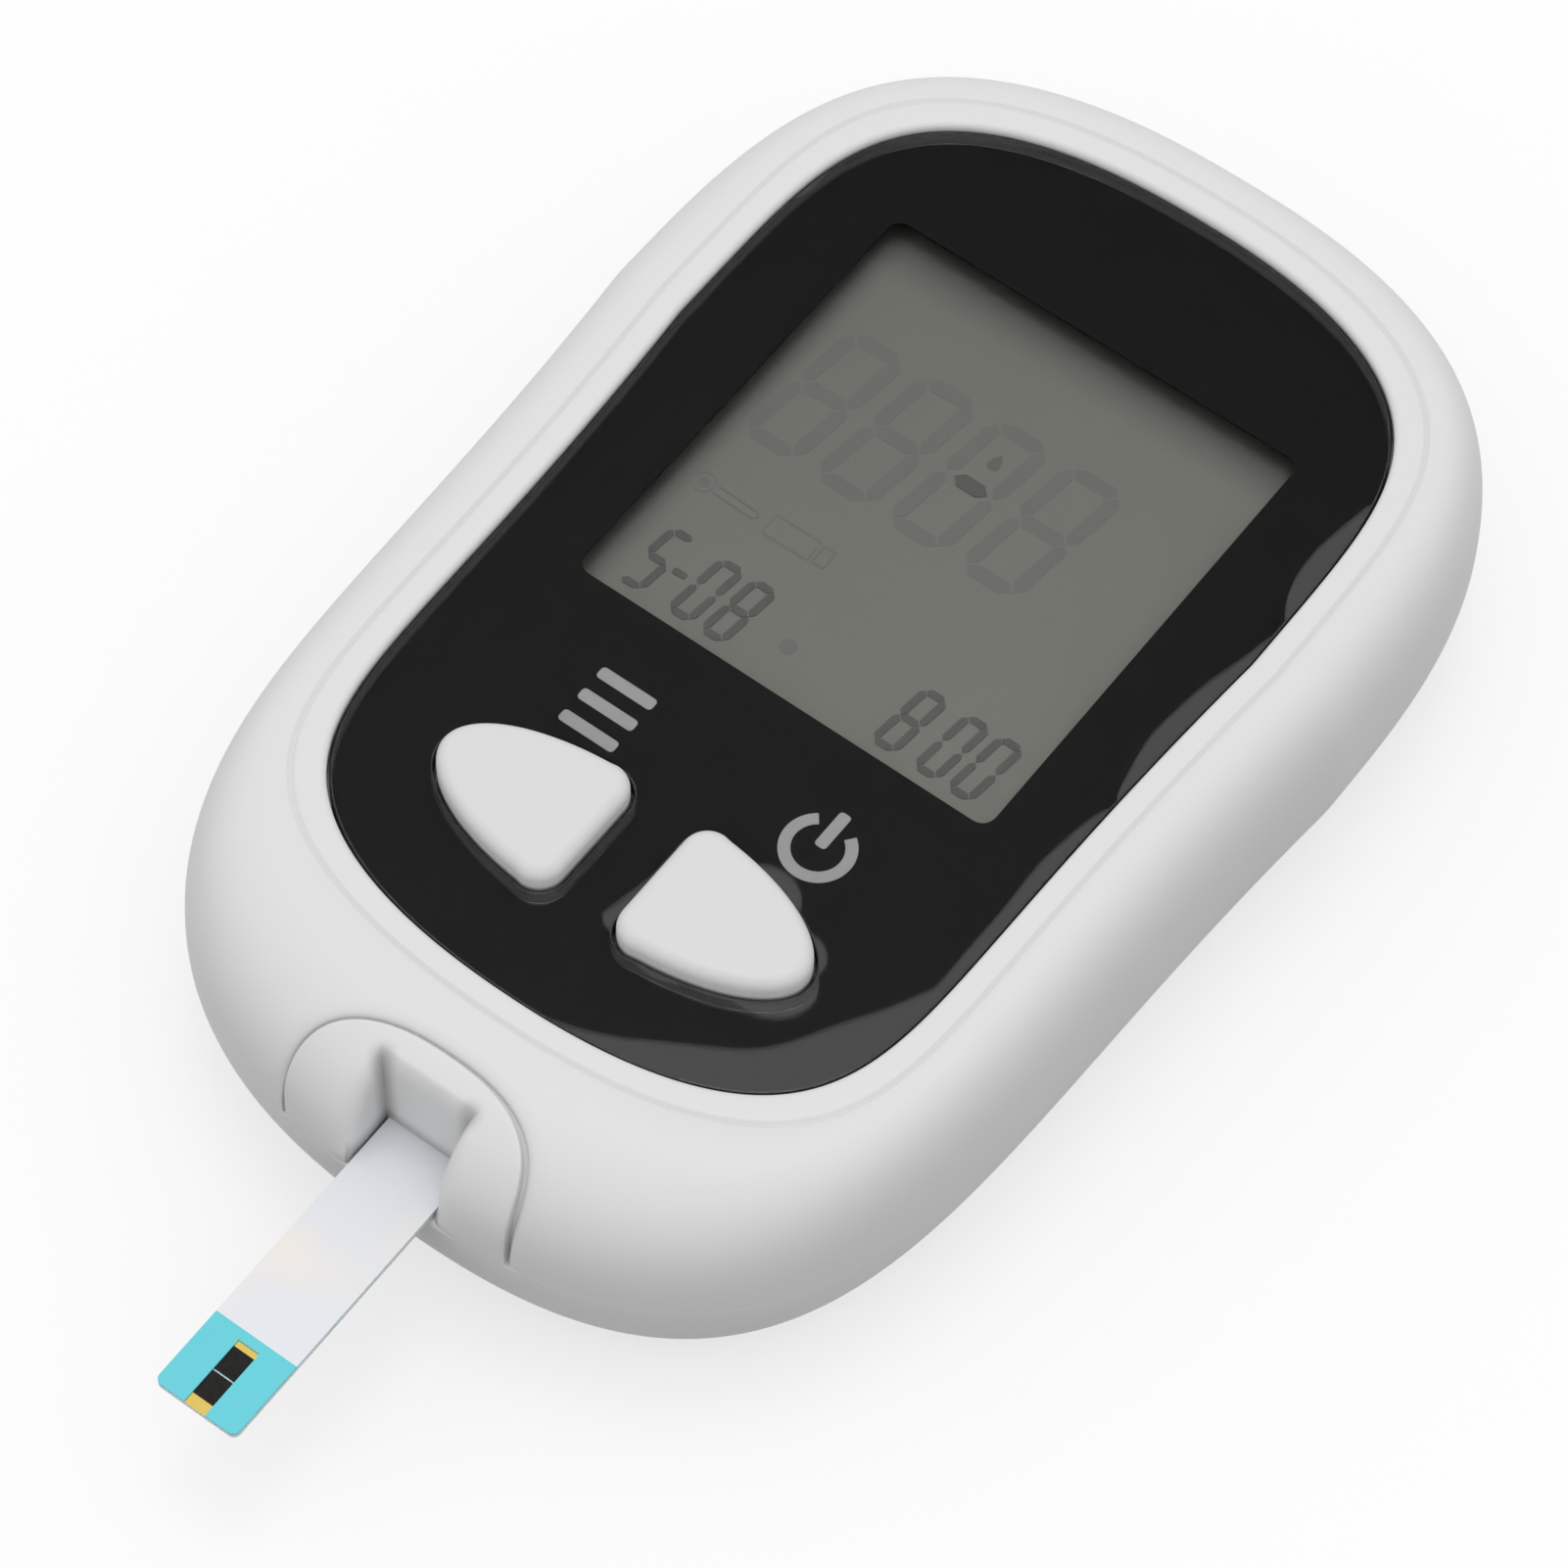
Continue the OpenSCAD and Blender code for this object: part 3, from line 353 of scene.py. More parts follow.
def humps(turn, table):
    """The highest of some cosine humps over an angle in degrees. Each is its middle, its spread before and after
    it, its height, and the power that flattens or sharpens it."""
    found = []
    for middle, before, after, height, power in table:
        away = (turn - middle + 180) % 360 - 180
        share = away / np.where(away < 0, before, after)
        found.append(height * np.cos(np.clip(share, -1, 1) * math.pi / 2) ** power)
    return np.max(found, axis=0)


def round_drop(distance, radius, drop):
    """How far an elliptical rounding lies below its surface at a distance from the edge."""
    share = np.clip(1 - distance / radius, 0, 1)
    return drop * (1 - np.sqrt(1 - share ** 2))


def back_ring(angle, b, outline, top, floor):
    """The rear shell's round: drawn in by 1 - cos(b) ^ p, down by sin(b) ^ p."""
    inset = BACK_ROUND * (1 - np.cos(b) ** BACK_POWER)
    distances = np.stack([reach(outline.grown(-float(d)), angle) for d in inset])
    z = top - (top - floor) * np.sin(b) ** BACK_POWER
    return on_ray(angle[None, :], distances, z[:, None])


def key_line(grow, corner=9, bow=61):
    """The right-hand key's outline, grown: a straight side with round corners, and a superelliptic bow."""
    x0, length = KEY_IN - grow, KEY_LEN + 2 * grow
    h, r = KEY_H / 2 + grow, KEY_R + grow
    last = math.acos((r / length) ** (KEY_POWER / 2))
    turn = np.radians(np.linspace(180, 90, corner))
    upper = np.stack((x0 + r + r * np.cos(turn), KEY_Y + h - r + r * np.sin(turn)), axis=1)
    turn = last * np.linspace(1, -1, bow)[1:-1]
    arc = np.stack((x0 + length * np.cos(turn) ** (2 / KEY_POWER), KEY_Y + h * np.sin(turn)), axis=1)
    lower = upper[::-1] * (1, -1) + (0, 2 * KEY_Y)
    return np.concatenate((upper, arc, lower))


def round_rectangle(low, high, radius, corner=7):
    """A rectangle's outline with round corners, anticlockwise."""
    turn = np.radians(np.linspace(0, 90, corner))
    arc = radius * np.stack((np.cos(turn), np.sin(turn)), axis=1)
    quarter = np.array(((0, -1), (1, 0)))
    corners = []
    centres = ((high[0] - radius, high[1] - radius), (low[0] + radius, high[1] - radius),
               (low[0] + radius, low[1] + radius), (high[0] - radius, low[1] + radius))
    for centre in centres:
        corners.append(arc + centre)
        arc = arc @ quarter.T
    return np.concatenate(corners)


# ---- Meshes ----

def grid_faces(rows, columns, ring_rows=False, ring_columns=False, start=0):
    """The quads of a grid of points held row by row, joined end to end where it is a ring."""
    i = np.arange(rows if ring_rows else rows - 1)[:, None]
    j = np.arange(columns if ring_columns else columns - 1)[None, :]
    down, right = (i + 1) % rows, (j + 1) % columns
    quads = np.stack(np.broadcast_arrays(i * columns + j, i * columns + right,
                                         down * columns + right, down * columns + j), axis=-1)
    return (quads.reshape(-1, 4) + start).tolist()


def add_mesh(name, points, faces):
    """An object with a mesh from points in millimetres."""
    mesh = bpy.data.meshes.new(name)
    mesh.from_pydata((np.asarray(points).reshape(-1, 3) * MM).tolist(), [], faces)
    added = bpy.data.objects.new(name, mesh)
    bpy.context.scene.collection.objects.link(added)
    return added


def make_piece(name, points, faces, finish, body="meter", sharp=35.0):
    """A closed mesh piece from points in millimetres: merged where points meet, facing outwards, riding on a body."""
    piece = add_mesh(name, points, faces)
    clean_mesh(piece.data)
    piece.data.shade_smooth()
    piece.data.set_sharp_from_angle(angle=math.radians(sharp))
    piece.data.materials.append(finish)
    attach(piece, body)
    return piece


def clean_mesh(mesh):
    """Merges points that meet, drops faces without area and turns a closed mesh outwards by its volume's sign."""
    work = bmesh.new()
    work.from_mesh(mesh)
    bmesh.ops.remove_doubles(work, verts=work.verts, dist=MERGE)
    bmesh.ops.dissolve_degenerate(work, edges=work.edges, dist=MERGE)
    if work.calc_volume(signed=True) < 0:
        bmesh.ops.reverse_faces(work, faces=work.faces)
    work.to_mesh(mesh)
    work.free()


def plate(name, outer, holes, z_low, z_high, edge, finish, steps=4):
    """A flat plate with holes. outer and holes are functions that give a loop grown by a distance:
    each edge is a wall with a quarter-circle rounding at its top, and both flats are filled between the loops."""
    turn = np.linspace(0, math.pi / 2, steps + 1)
    # The last row lies a little further in than the rounding, so the flat starts level
    insets = np.concatenate(([0], edge * (1 - np.cos(turn)), [edge * 1.2]))
    heights = np.concatenate(([z_low], z_high - edge + edge * np.sin(turn), [z_high]))
    points, faces, tops, bottoms, start = [], [], [], [], 0
    for sign, loop in [(-1, outer)] + [(1, hole) for hole in holes]:
        rows = [np.column_stack((loop(sign * d), np.full(len(loop(0)), z))) for d, z in zip(insets, heights)]
        count = len(rows[0])
        points.extend(rows)
        faces += grid_faces(len(rows), count, ring_columns=True, start=start)
        bottoms.append((rows[0][:, :2], start))
        tops.append((rows[-1][:, :2], start + (len(rows) - 1) * count))
        start += len(rows) * count
    for loops, flip in ((tops, False), (bottoms, True)):
        faces += fill_loops(loops, flip)
    piece = make_piece(name, np.concatenate(points), faces, finish)
    turn_outwards(piece.data)
    return piece


def fill_loops(loops, flip):
    """Triangles between the first loop and the loops that are its holes."""
    flat = np.concatenate([points for points, _ in loops])
    index = np.concatenate([start + np.arange(len(points)) for points, start in loops])
    ends = np.cumsum([len(points) for points, _ in loops])
    rings = [list(range(end - len(points), end)) for end, (points, _) in zip(ends, loops)]
    found = delaunay_2d_cdt([Vector(p) for p in flat.tolist()], [], rings, 2, 1e-9)
    corners = [index[list(face)] for face in found[2]]
    return [face[::-1].tolist() if flip else face.tolist() for face in corners]


def turn_outwards(mesh):
    """Makes the faces of a closed mesh agree and point outwards."""
    work = bmesh.new()
    work.from_mesh(mesh)
    bmesh.ops.recalc_face_normals(work, faces=work.faces)
    work.to_mesh(mesh)
    work.free()


def prisms(shapes, z_low, z_high):
    """Flat shapes of equal numbers of corners, anticlockwise, raised into thin prisms: points and faces."""
    shapes = np.asarray(shapes)
    count, corners = shapes.shape[:2]
    low = np.concatenate((shapes, np.full((count, corners, 1), z_low)), axis=2)
    high = np.concatenate((shapes, np.full((count, corners, 1), z_high)), axis=2)
    first = np.arange(count)[:, None] * 2 * corners
    ring = np.arange(corners)[None, :]
    after = (ring + 1) % corners
    walls = np.stack((first + ring, first + after, first + corners + after, first + corners + ring), axis=-1)
    faces = walls.reshape(-1, 4).tolist()
    faces += (first + corners + ring).tolist() + (first + ring[:, ::-1]).tolist()
    return np.stack((low, high), axis=1).reshape(-1, 3), faces


def band(line, stroke, z_low, z_high, closed=False):
    """A flat line with a thickness to both sides of it, as a thin strip: points and faces."""
    line = np.asarray(line, float)
    if closed:
        along = np.roll(line, -1, axis=0) - np.roll(line, 1, axis=0)
    else:
        along = np.gradient(line, axis=0)
    side = along[:, ::-1] * (-1, 1) / np.linalg.norm(along, axis=1, keepdims=True) * stroke / 2
    rows = [np.column_stack((line + side * sign, np.full(len(line), z)))
            for sign, z in ((1, z_low), (-1, z_low), (-1, z_high), (1, z_high))]
    faces = grid_faces(len(line), 4, ring_rows=closed, ring_columns=True)
    if not closed:
        last = 4 * (len(line) - 1)
        faces += [[3, 2, 1, 0], [last, last + 1, last + 2, last + 3]]
    return np.stack(rows, axis=1).reshape(-1, 3), faces


def circle(centre, radius, start=0.0, end=360.0, count=40):
    """Points on a circle's arc from start to end, in degrees."""
    turn = np.radians(np.linspace(start, end, count, endpoint=end - start < 360))
    return np.array(centre) + radius * np.stack((np.cos(turn), np.sin(turn)), axis=1)


def together(meshes):
    """Several points and faces as one."""
    points, faces, start = [], [], 0
    for part, loops in meshes:
        points.append(np.asarray(part).reshape(-1, 3))
        faces += [[start + i for i in loop] for loop in loops]
        start += len(points[-1])
    return np.concatenate(points), faces


def cut(piece, cutters):
    """Takes the cutters' solids out of a piece, in place."""
    for cutter in cutters:
        modifier = piece.modifiers.new("cut", "BOOLEAN")
        modifier.operation = "DIFFERENCE"
        modifier.solver = "EXACT"
        modifier.object = cutter
    bpy.context.view_layer.update()
    mesh = bpy.data.meshes.new_from_object(piece.evaluated_get(bpy.context.evaluated_depsgraph_get()))
    old = piece.data
    piece.modifiers.clear()
    piece.data = mesh
    mesh.name = old.name
    bpy.data.meshes.remove(old)
    mesh.set_sharp_from_angle(angle=math.radians(30))
    for cutter in cutters:
        bpy.data.objects.remove(cutter)


def tool_solid(points, faces):
    """A closed solid used only to cut."""
    solid = add_mesh("cutter", points, faces)
    clean_mesh(solid.data)
    return solid


def box_mesh(low, high):
    """A box between two corners: points and faces."""
    points = [(x, y, z) for z in (low[2], high[2]) for x, y in
              ((low[0], low[1]), (high[0], low[1]), (high[0], high[1]), (low[0], high[1]))]
    return np.array(points), [[3, 2, 1, 0], [4, 5, 6, 7]] + grid_faces(2, 4, ring_columns=True)


def box_tool(low, high):
    """A box between two corners."""
    return tool_solid(*box_mesh(low, high))


def round_tool(centre, radius, length, axis="Z", sides=64):
    """A cylinder from its centre along an axis."""
    turn = np.arange(sides) * 2 * math.pi / sides
    flat = radius * np.stack((np.cos(turn), np.sin(turn)), axis=1)
    rows = np.stack([np.column_stack((flat, np.full(sides, z))) for z in (0, length)])
    if axis == "X":
        rows = rows[..., [2, 0, 1]]
    faces = [list(range(sides))[::-1], list(range(sides, 2 * sides))] + grid_faces(2, sides, ring_columns=True)
    return tool_solid(rows + np.array(centre), faces)


def ball_tool(centre, radius, rows=48, sides=96):
    """A sphere: cos(u) cos(v), cos(u) sin(v), sin(u)."""
    u = np.linspace(-math.pi / 2, math.pi / 2, rows)[:, None]
    v = (np.arange(sides) * 2 * math.pi / sides)[None, :]
    x, y, z = np.broadcast_arrays(np.cos(u) * np.cos(v), np.cos(u) * np.sin(v), np.sin(u))
    return tool_solid(radius * np.stack((x, y, z), axis=-1) + np.array(centre),
                      grid_faces(rows, sides, ring_columns=True))


# ---- Finishes ----

FINISHES = {}


class Tree:
    """A node tree and what is added to it."""

    def __init__(self, tree):
        self.tree = tree

    def add(self, kind, inputs=None, **settings):
        """A node with its settings, and with values or sockets put into its inputs."""
        node = self.tree.nodes.new(kind)
        for key, value in settings.items():
            setattr(node, key, value)
        for key, value in (inputs or {}).items():
            self.put(node.inputs[key], value)
        return node

    def put(self, socket, value):
        """Links a socket to an input, or sets the input to a value."""
        if isinstance(value, bpy.types.NodeSocket):
            self.tree.links.new(value, socket)
        else:
            socket.default_value = value

    def work_out(self, operation, *values):
        """One step of arithmetic."""
        return self.add("ShaderNodeMath", dict(enumerate(values)), operation=operation).outputs[0]

    def seen(self):
        """1 for rays from the camera, off gloss and through clear sheets, and 0 for the rest."""
        ray = self.add("ShaderNodeLightPath").outputs
        glossy = self.work_out("MAXIMUM", ray["Is Camera Ray"], ray["Is Glossy Ray"])
        return self.work_out("MAXIMUM", glossy, ray["Is Transmission Ray"])


class Nodes(Tree):
    """A material's nodes round its shader."""

    def __init__(self, name):
        found = bpy.data.materials.get(name)
        if found:
            bpy.data.materials.remove(found)
        self.material = bpy.data.materials.new(name)
        self.material.use_nodes = True
        super().__init__(self.material.node_tree)
        self.shader = self.tree.nodes["Principled BSDF"]
        self.place = self.add("ShaderNodeTexCoord").outputs["Object"]

    def shade(self, **sockets):
        """Sets the shader's inputs, named with underscores for spaces. A colour of three is made opaque."""
        for key, value in sockets.items():
            value = (*value, 1) if isinstance(value, tuple) else value
            self.put(self.shader.inputs[key.replace("_", " ")], value)

    def split(self):
        """The place's X, Y and Z."""
        return self.add("ShaderNodeSeparateXYZ", {"Vector": self.place}).outputs

    def noise(self, scale, detail=2.0, roughness=0.5, stretch=(1, 1, 1)):
        """Fractal noise over the object, in cycles a metre."""
        where = self.add("ShaderNodeMapping", {"Vector": self.place, "Scale": stretch}).outputs[0]
        return self.add("ShaderNodeTexNoise", {"Vector": where, "Scale": scale, "Detail": detail,
                                               "Roughness": roughness}).outputs["Fac"]

    def blend(self, share, first, second):
        """A colour between two by a share."""
        ends = [(*end, 1) if isinstance(end, tuple) else end for end in (first, second)]
        return self.add("ShaderNodeMix", {0: share, 6: ends[0], 7: ends[1]}, data_type="RGBA").outputs[2]

    def spread(self, value, low, high, from_low=0.3, from_high=0.7, kind="LINEAR"):
        """A value mapped to low and high, from the noise's usual range unless another is given."""
        return self.add("ShaderNodeMapRange", {0: value, 1: from_low, 2: from_high, 3: low, 4: high},
                        interpolation_type=kind).outputs[0]

    def soften(self, value, low, high, from_low, from_high):
        """A value mapped to low and high with a smooth start and end."""
        return self.spread(value, low, high, from_low, from_high, "SMOOTHSTEP")

    def bump(self, height, depth):
        """Raises the surface by a height times a depth in metres."""
        node = self.add("ShaderNodeBump", {"Height": height, "Distance": depth, "Strength": 1.0})
        self.shade(Normal=node.outputs[0])


def tinted(base, share):
    """A colour made darker or lighter by a share, at most white."""
    return tuple(min(1.0, c * share) for c in base)


def moulded(name, base, roughness, shade=0.03, patch=70.0, grain=2600.0, grain_depth=0.000004, **sockets):
    """Moulded plastic, film or metal: its colour shifts a little in slow patches, its gloss too,
    and a fine grain raises it. Extra sockets go on the shader as they are."""
    nodes = Nodes(name)
    slow = nodes.noise(patch, 3.0)
    nodes.shade(Base_Color=nodes.blend(slow, tinted(base, 1 - shade), tinted(base, 1 + shade)),
                Roughness=nodes.spread(slow, roughness * 0.93, roughness * 1.07), **sockets)
    nodes.bump(nodes.noise(grain, 2.0), grain_depth)
    return nodes


def finishes():
    """Every finish by the name of its material slot, made once."""
    if FINISHES:
        return FINISHES
    half_lit = tuple((a + b) / 2 for a, b in zip(colour("digit"), colour("ghost")))
    plain = {
        "housing": (colour("housing"), 0.44, {"shade": 0.008, "IOR": 1.46}),
        "key": (colour("key"), 0.46, {"shade": 0.006, "grain": 1800.0, "IOR": 1.46}),
        "black_foam": ((0.03, 0.03, 0.03), 0.9, {"shade": 0.15, "grain": 4000.0, "grain_depth": 0.00005}),
        "reflector": ((0.45, 0.45, 0.42), 0.35, {}),
        "display_frame": ((0.05, 0.05, 0.05), 0.55, {"shade": 0.1}),
        "component_black": ((0.03, 0.03, 0.03), 0.5, {"shade": 0.15}),
        "component_tan": ((0.5, 0.42, 0.3), 0.45, {"shade": 0.1}),
        "plunger": ((0.12, 0.12, 0.12), 0.45, {"shade": 0.05}),
        "reagent": ((0.014, 0.013, 0.012), 0.7, {"shade": 0.7, "patch": 2200.0, "grain": 6000.0,
                                                 "grain_depth": 0.00002, "Specular_IOR_Level": 0.2}),
        "strip_base": ((0.92, 0.92, 0.93), 0.4, {"shade": 0.01, "Subsurface_Weight": 0.6,
                                                 "Subsurface_Scale": 0.001}),
        "strip_end": (colour("strip_end"), 0.38, {"patch": 220.0}),
        "legend": (colour("legend"), 0.42, {"shade": 0.04, "patch": 500.0}),
        "digit": (colour("digit"), 0.5, {}),
        "ghost": (colour("ghost"), 0.5, {}),
        "mark": (half_lit, 0.5, {}),
    }
    for name, (base, roughness, extra) in plain.items():
        FINISHES[name] = moulded(name, base, roughness, **extra).material
    FINISHES.update({
        "port_housing": port_plastic_painted_shade(),
        "black_print": ink(),
        "polariser": polariser(),
        "strip_film": pearly_film(),
        "board": solder_mask(),
        "elastomer": striped_rubber(),
        "steel": metal("steel", (0.60, 0.60, 0.61), 0.3),
        "screw": metal("screw", (0.52, 0.52, 0.54), 0.36),
        "gold": metal("gold", colour("gold"), 0.3),
        "display_glass": clear("display_glass", (0.9, 0.95, 0.93), 0.04, 1.5),
        "face_sheet": clear("face_sheet", (0.985, 0.99, 0.99), 0.008, 1.47),
    })
    return FINISHES


def metal(name, base, roughness):
    """Plated sheet metal: fine marks drawn along X."""
    nodes = moulded(name, base, roughness, shade=0.06, patch=300.0, Metallic=1.0)
    nodes.bump(nodes.noise(2500.0, 2.0, stretch=(0.08, 1, 1)), 0.000003)
    return nodes.material


def clear(name, tint, roughness, ior):
    """A clear polished sheet: full transmission, with a faint smear in its gloss."""
    nodes = Nodes(name)
    smear = nodes.spread(nodes.noise(60.0, 3.0), roughness * 0.7, roughness * 1.3)
    nodes.shade(Base_Color=tint, Roughness=smear, Transmission_Weight=1.0, IOR=ior)
    return nodes.material


def port_plastic_painted_shade():
    """The housing's white with painted shade: darker in the notch's inner corners and low down beside the strip, where
    shade falls.
    """
    nodes = moulded("port_housing", colour("housing"), 0.44, shade=0.008, IOR=1.46)
    x, y, z = nodes.split()
    across = nodes.work_out("ABSOLUTE", x)
    flat = nodes.add("ShaderNodeCombineXYZ", {"X": across, "Y": y}).outputs[0]
    away = nodes.add("ShaderNodeVectorMath", {0: flat, 1: (NOTCH_HALF * MM, NOTCH_BACK * MM, 0.0)},
                     operation="DISTANCE").outputs["Value"]
    # Painted shade in the notch's inner corners, darkest at each corner line
    corner = nodes.soften(away, 0.64, 1.0, 0.0, 0.0012)
    # Painted shade low down beside the strip, kept inside the notch's walls by the next mask
    low = nodes.soften(z, 0.62, 1.0, 0.0102, 0.0118)
    outer = nodes.soften(across, 0.0, 1.0, (NOTCH_HALF + 0.02) * MM, (NOTCH_HALF + 0.4) * MM)
    share = nodes.work_out("MULTIPLY", corner, nodes.work_out("MAXIMUM", low, outer))
    nodes.shade(Base_Color=nodes.blend(share, (0.0, 0.0, 0.0), colour("housing")))
    return nodes.material


def ink():
    """Black ink behind a clear sheet: without gloss of its own, and with painted light that makes it a little greyer
    towards the port.
    """
    nodes = Nodes("black_print")
    # Painted light: the ink grows greyer towards -Y, the port's end of the face
    share = nodes.spread(nodes.split()["Y"], 1.0, 0.0, -0.036, 0.036)
    base = colour("black_print")
    nodes.shade(Base_Color=nodes.blend(share, tinted(base, 0.85), tinted(base, 1.2)),
                Roughness=nodes.spread(nodes.noise(90.0), 0.45, 0.55), Specular_IOR_Level=0.0)
    return nodes.material


def polariser():
    """The display's grey film, with painted light: slightly lighter towards its lower right corner, and a painted
    shadow of the window's edge darkening it along its top and left.
    """
    nodes = Nodes("polariser")
    x, y, _ = nodes.split()
    # Painted light: the film grows lighter towards its lower right corner
    share = nodes.spread(nodes.work_out("SUBTRACT", x, y), 0.0, 1.0, -0.036, 0.020)
    base = colour("display")
    ground = nodes.blend(share, tinted(base, 0.95), tinted(base, 1.08))
    # Painted shadow of the window's edge along the film's top and left
    top = nodes.soften(y, 1.0, 0.55, (WINDOW_UP - 3.8) * MM, (WINDOW_UP - 0.2) * MM)
    left = nodes.soften(x, 0.7, 1.0, (0.2 - WINDOW_HALF) * MM, (1.9 - WINDOW_HALF) * MM)
    nodes.shade(Base_Color=nodes.blend(nodes.work_out("MULTIPLY", top, left), (0.0, 0.0, 0.0), ground),
                Roughness=nodes.spread(nodes.noise(150.0), 0.40, 0.48))
    nodes.bump(nodes.noise(5200.0, 2.0), 0.000002)
    return nodes.material


def pearly_film():
    """White film with faint warm and cool clouds under a satin coat."""
    nodes = moulded("strip_film", (0.79, 0.80, 0.83), 0.34, Coat_Weight=0.15, Coat_Roughness=0.2)
    warm = nodes.spread(nodes.noise(120.0, 1.0), 0.0, 1.0, 0.52, 0.72)
    nodes.shade(Base_Color=nodes.blend(warm, (0.78, 0.80, 0.84), (0.86, 0.82, 0.78)))
    return nodes.material


def solder_mask():
    """Green mask over copper tracks: tracks are raised bands of a warped wave."""
    nodes = Nodes("board")
    wave = nodes.add("ShaderNodeTexWave", {"Vector": nodes.place, "Scale": 180.0, "Distortion": 9.0,
                                           "Detail": 1.0, "Detail Scale": 0.6}).outputs["Fac"]
    tracks = nodes.spread(wave, 0.0, 1.0, 0.45, 0.55)
    nodes.shade(Base_Color=nodes.blend(tracks, (0.012, 0.10, 0.045), (0.02, 0.19, 0.08)), Roughness=0.28)
    nodes.bump(tracks, 0.00003)
    return nodes.material


def striped_rubber():
    """Silicone rubber with dark conducting stripes across X."""
    nodes = Nodes("elastomer")
    wave = nodes.add("ShaderNodeTexWave", {"Vector": nodes.place, "Scale": 1600.0}, bands_direction="X")
    stripes = nodes.spread(wave.outputs["Fac"], 0.0, 1.0, 0.4, 0.6)
    nodes.shade(Base_Color=nodes.blend(stripes, (0.03, 0.03, 0.03), (0.72, 0.42, 0.47)), Roughness=0.6)
    return nodes.material


# ---- Operators ----

class PieceOperator:
    """What the operators share."""
    bl_options = {"REGISTER", "UNDO"}


class METER_OT_front_shell(PieceOperator, bpy.types.Operator):
    """Upper shell: shoulder, groove, rolled rim and the arched gap for the port insert."""
    bl_idname = "meter.front_shell"
    bl_label = "Front Shell"

    ARCH_COLUMNS = 141
    REST_COLUMNS = 420
    # Half the angle that the arch's columns spread over at the rim
    RIM_SPREAD = math.radians(16)
    EDGE_ROWS = 9
    SHOULDER_ROWS = 30
    # Gap between the recess's wall and the face sheet
    FACE_GAP = 0.12

    def columns(self, offset, low_a):
        """Angle and parameter of one row: along the arch grown by offset, then round the parting line."""
        angle, a = arch(offset, 0.0, low_a, self.ARCH_COLUMNS)
        rest = np.linspace(angle[-1], angle[0] - 2 * math.pi, self.REST_COLUMNS + 2)[1:-1]
        return np.concatenate((angle, rest)), np.concatenate((a, np.full(self.REST_COLUMNS, low_a)))

    def rim_angles(self):
        """The columns' angles at the rim, even on the arch's side and evenly round the rest."""
        spread = self.RIM_SPREAD
        over_arch = np.linspace(spread, -spread, self.ARCH_COLUMNS)
        rest = np.linspace(-spread, spread - 2 * math.pi, self.REST_COLUMNS + 2)[1:-1]
        return np.concatenate((over_arch, rest))

    def rim_rows(self, angle):
        """Rows inward from the groove: distance from the face and height of the groove, lip and recess wall."""
        out, width = size("groove_out"), size("groove_width")
        across = np.linspace(0, 1, 11)[1:]
        groove = [(out + width * (0.5 - s), RIM_Z - size("groove_depth") * math.sin(math.pi * s) ** 2) for s in across]
        gap, radius = self.FACE_GAP, size("lip_radius")
        flat_from, flat_to = out - width / 2, gap + radius
        crown = [(mix(flat_from, flat_to, s), RIM_Z) for s in (0.33, 0.67, 1.0)]
        turn = np.linspace(0, math.pi / 2, 8)[1:]
        roll = [(gap + radius * (1 - math.sin(t)), RIM_Z - radius * (1 - math.cos(t))) for t in turn]
        recess = [(gap, SEAT_Z), (gap, DECK_Z)]
        return [on_ray(angle, reach(FACE.grown(d), angle), z) for d, z in groove + crown + roll + recess]

    def execute(self, context):
        rows, inner = [], []
        for share in 1 - np.cos(np.linspace(0, math.pi / 2, self.EDGE_ROWS)):
            edge, seam = size("gap_reach") * share, size("seam_radius")
            angle, a = self.columns(ARCH_GAP / 2 + edge, float(height_angle(edge)))
            on_arch = np.arange(len(angle)) < self.ARCH_COLUMNS
            # The drop eases in from the arch's feet
            at_gap = round_drop(share, 1.0, size("gap_drop")) * mix(0.15, 1.0, ease(a * 2))
            drop = np.where(on_arch, at_gap, round_drop(edge, seam, seam))
            normal = shoulder_normal(angle, a)
            points = shoulder(angle, a)
            rows.append(points - normal * drop[:, None])
            inner.append(points - normal * WALL)
        rim = self.rim_angles()
        # The power sets the rows closer near the parting line
        for share in np.linspace(0, 1, self.SHOULDER_ROWS + 1)[1:] ** 1.7:
            angle_here, a_here = mix(angle, rim, share), mix(a, math.pi / 2, share)
            points = shoulder(angle_here, a_here)
            rows.append(points)
            inner.append(points - shoulder_normal(angle_here, a_here) * WALL)
        rows += self.rim_rows(rim)
        lining = np.stack(inner[::-3] + [inner[0]])
        lining[..., 2] = np.clip(lining[..., 2], PART_Z, DECK_Z)
        grid = np.concatenate((np.stack(rows), lining))
        faces = grid_faces(grid.shape[0], grid.shape[1], ring_rows=True, ring_columns=True)
        piece = make_piece("front_shell", grid, faces, finishes()["housing"])
        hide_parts("front_housing")
        return {"FINISHED"}


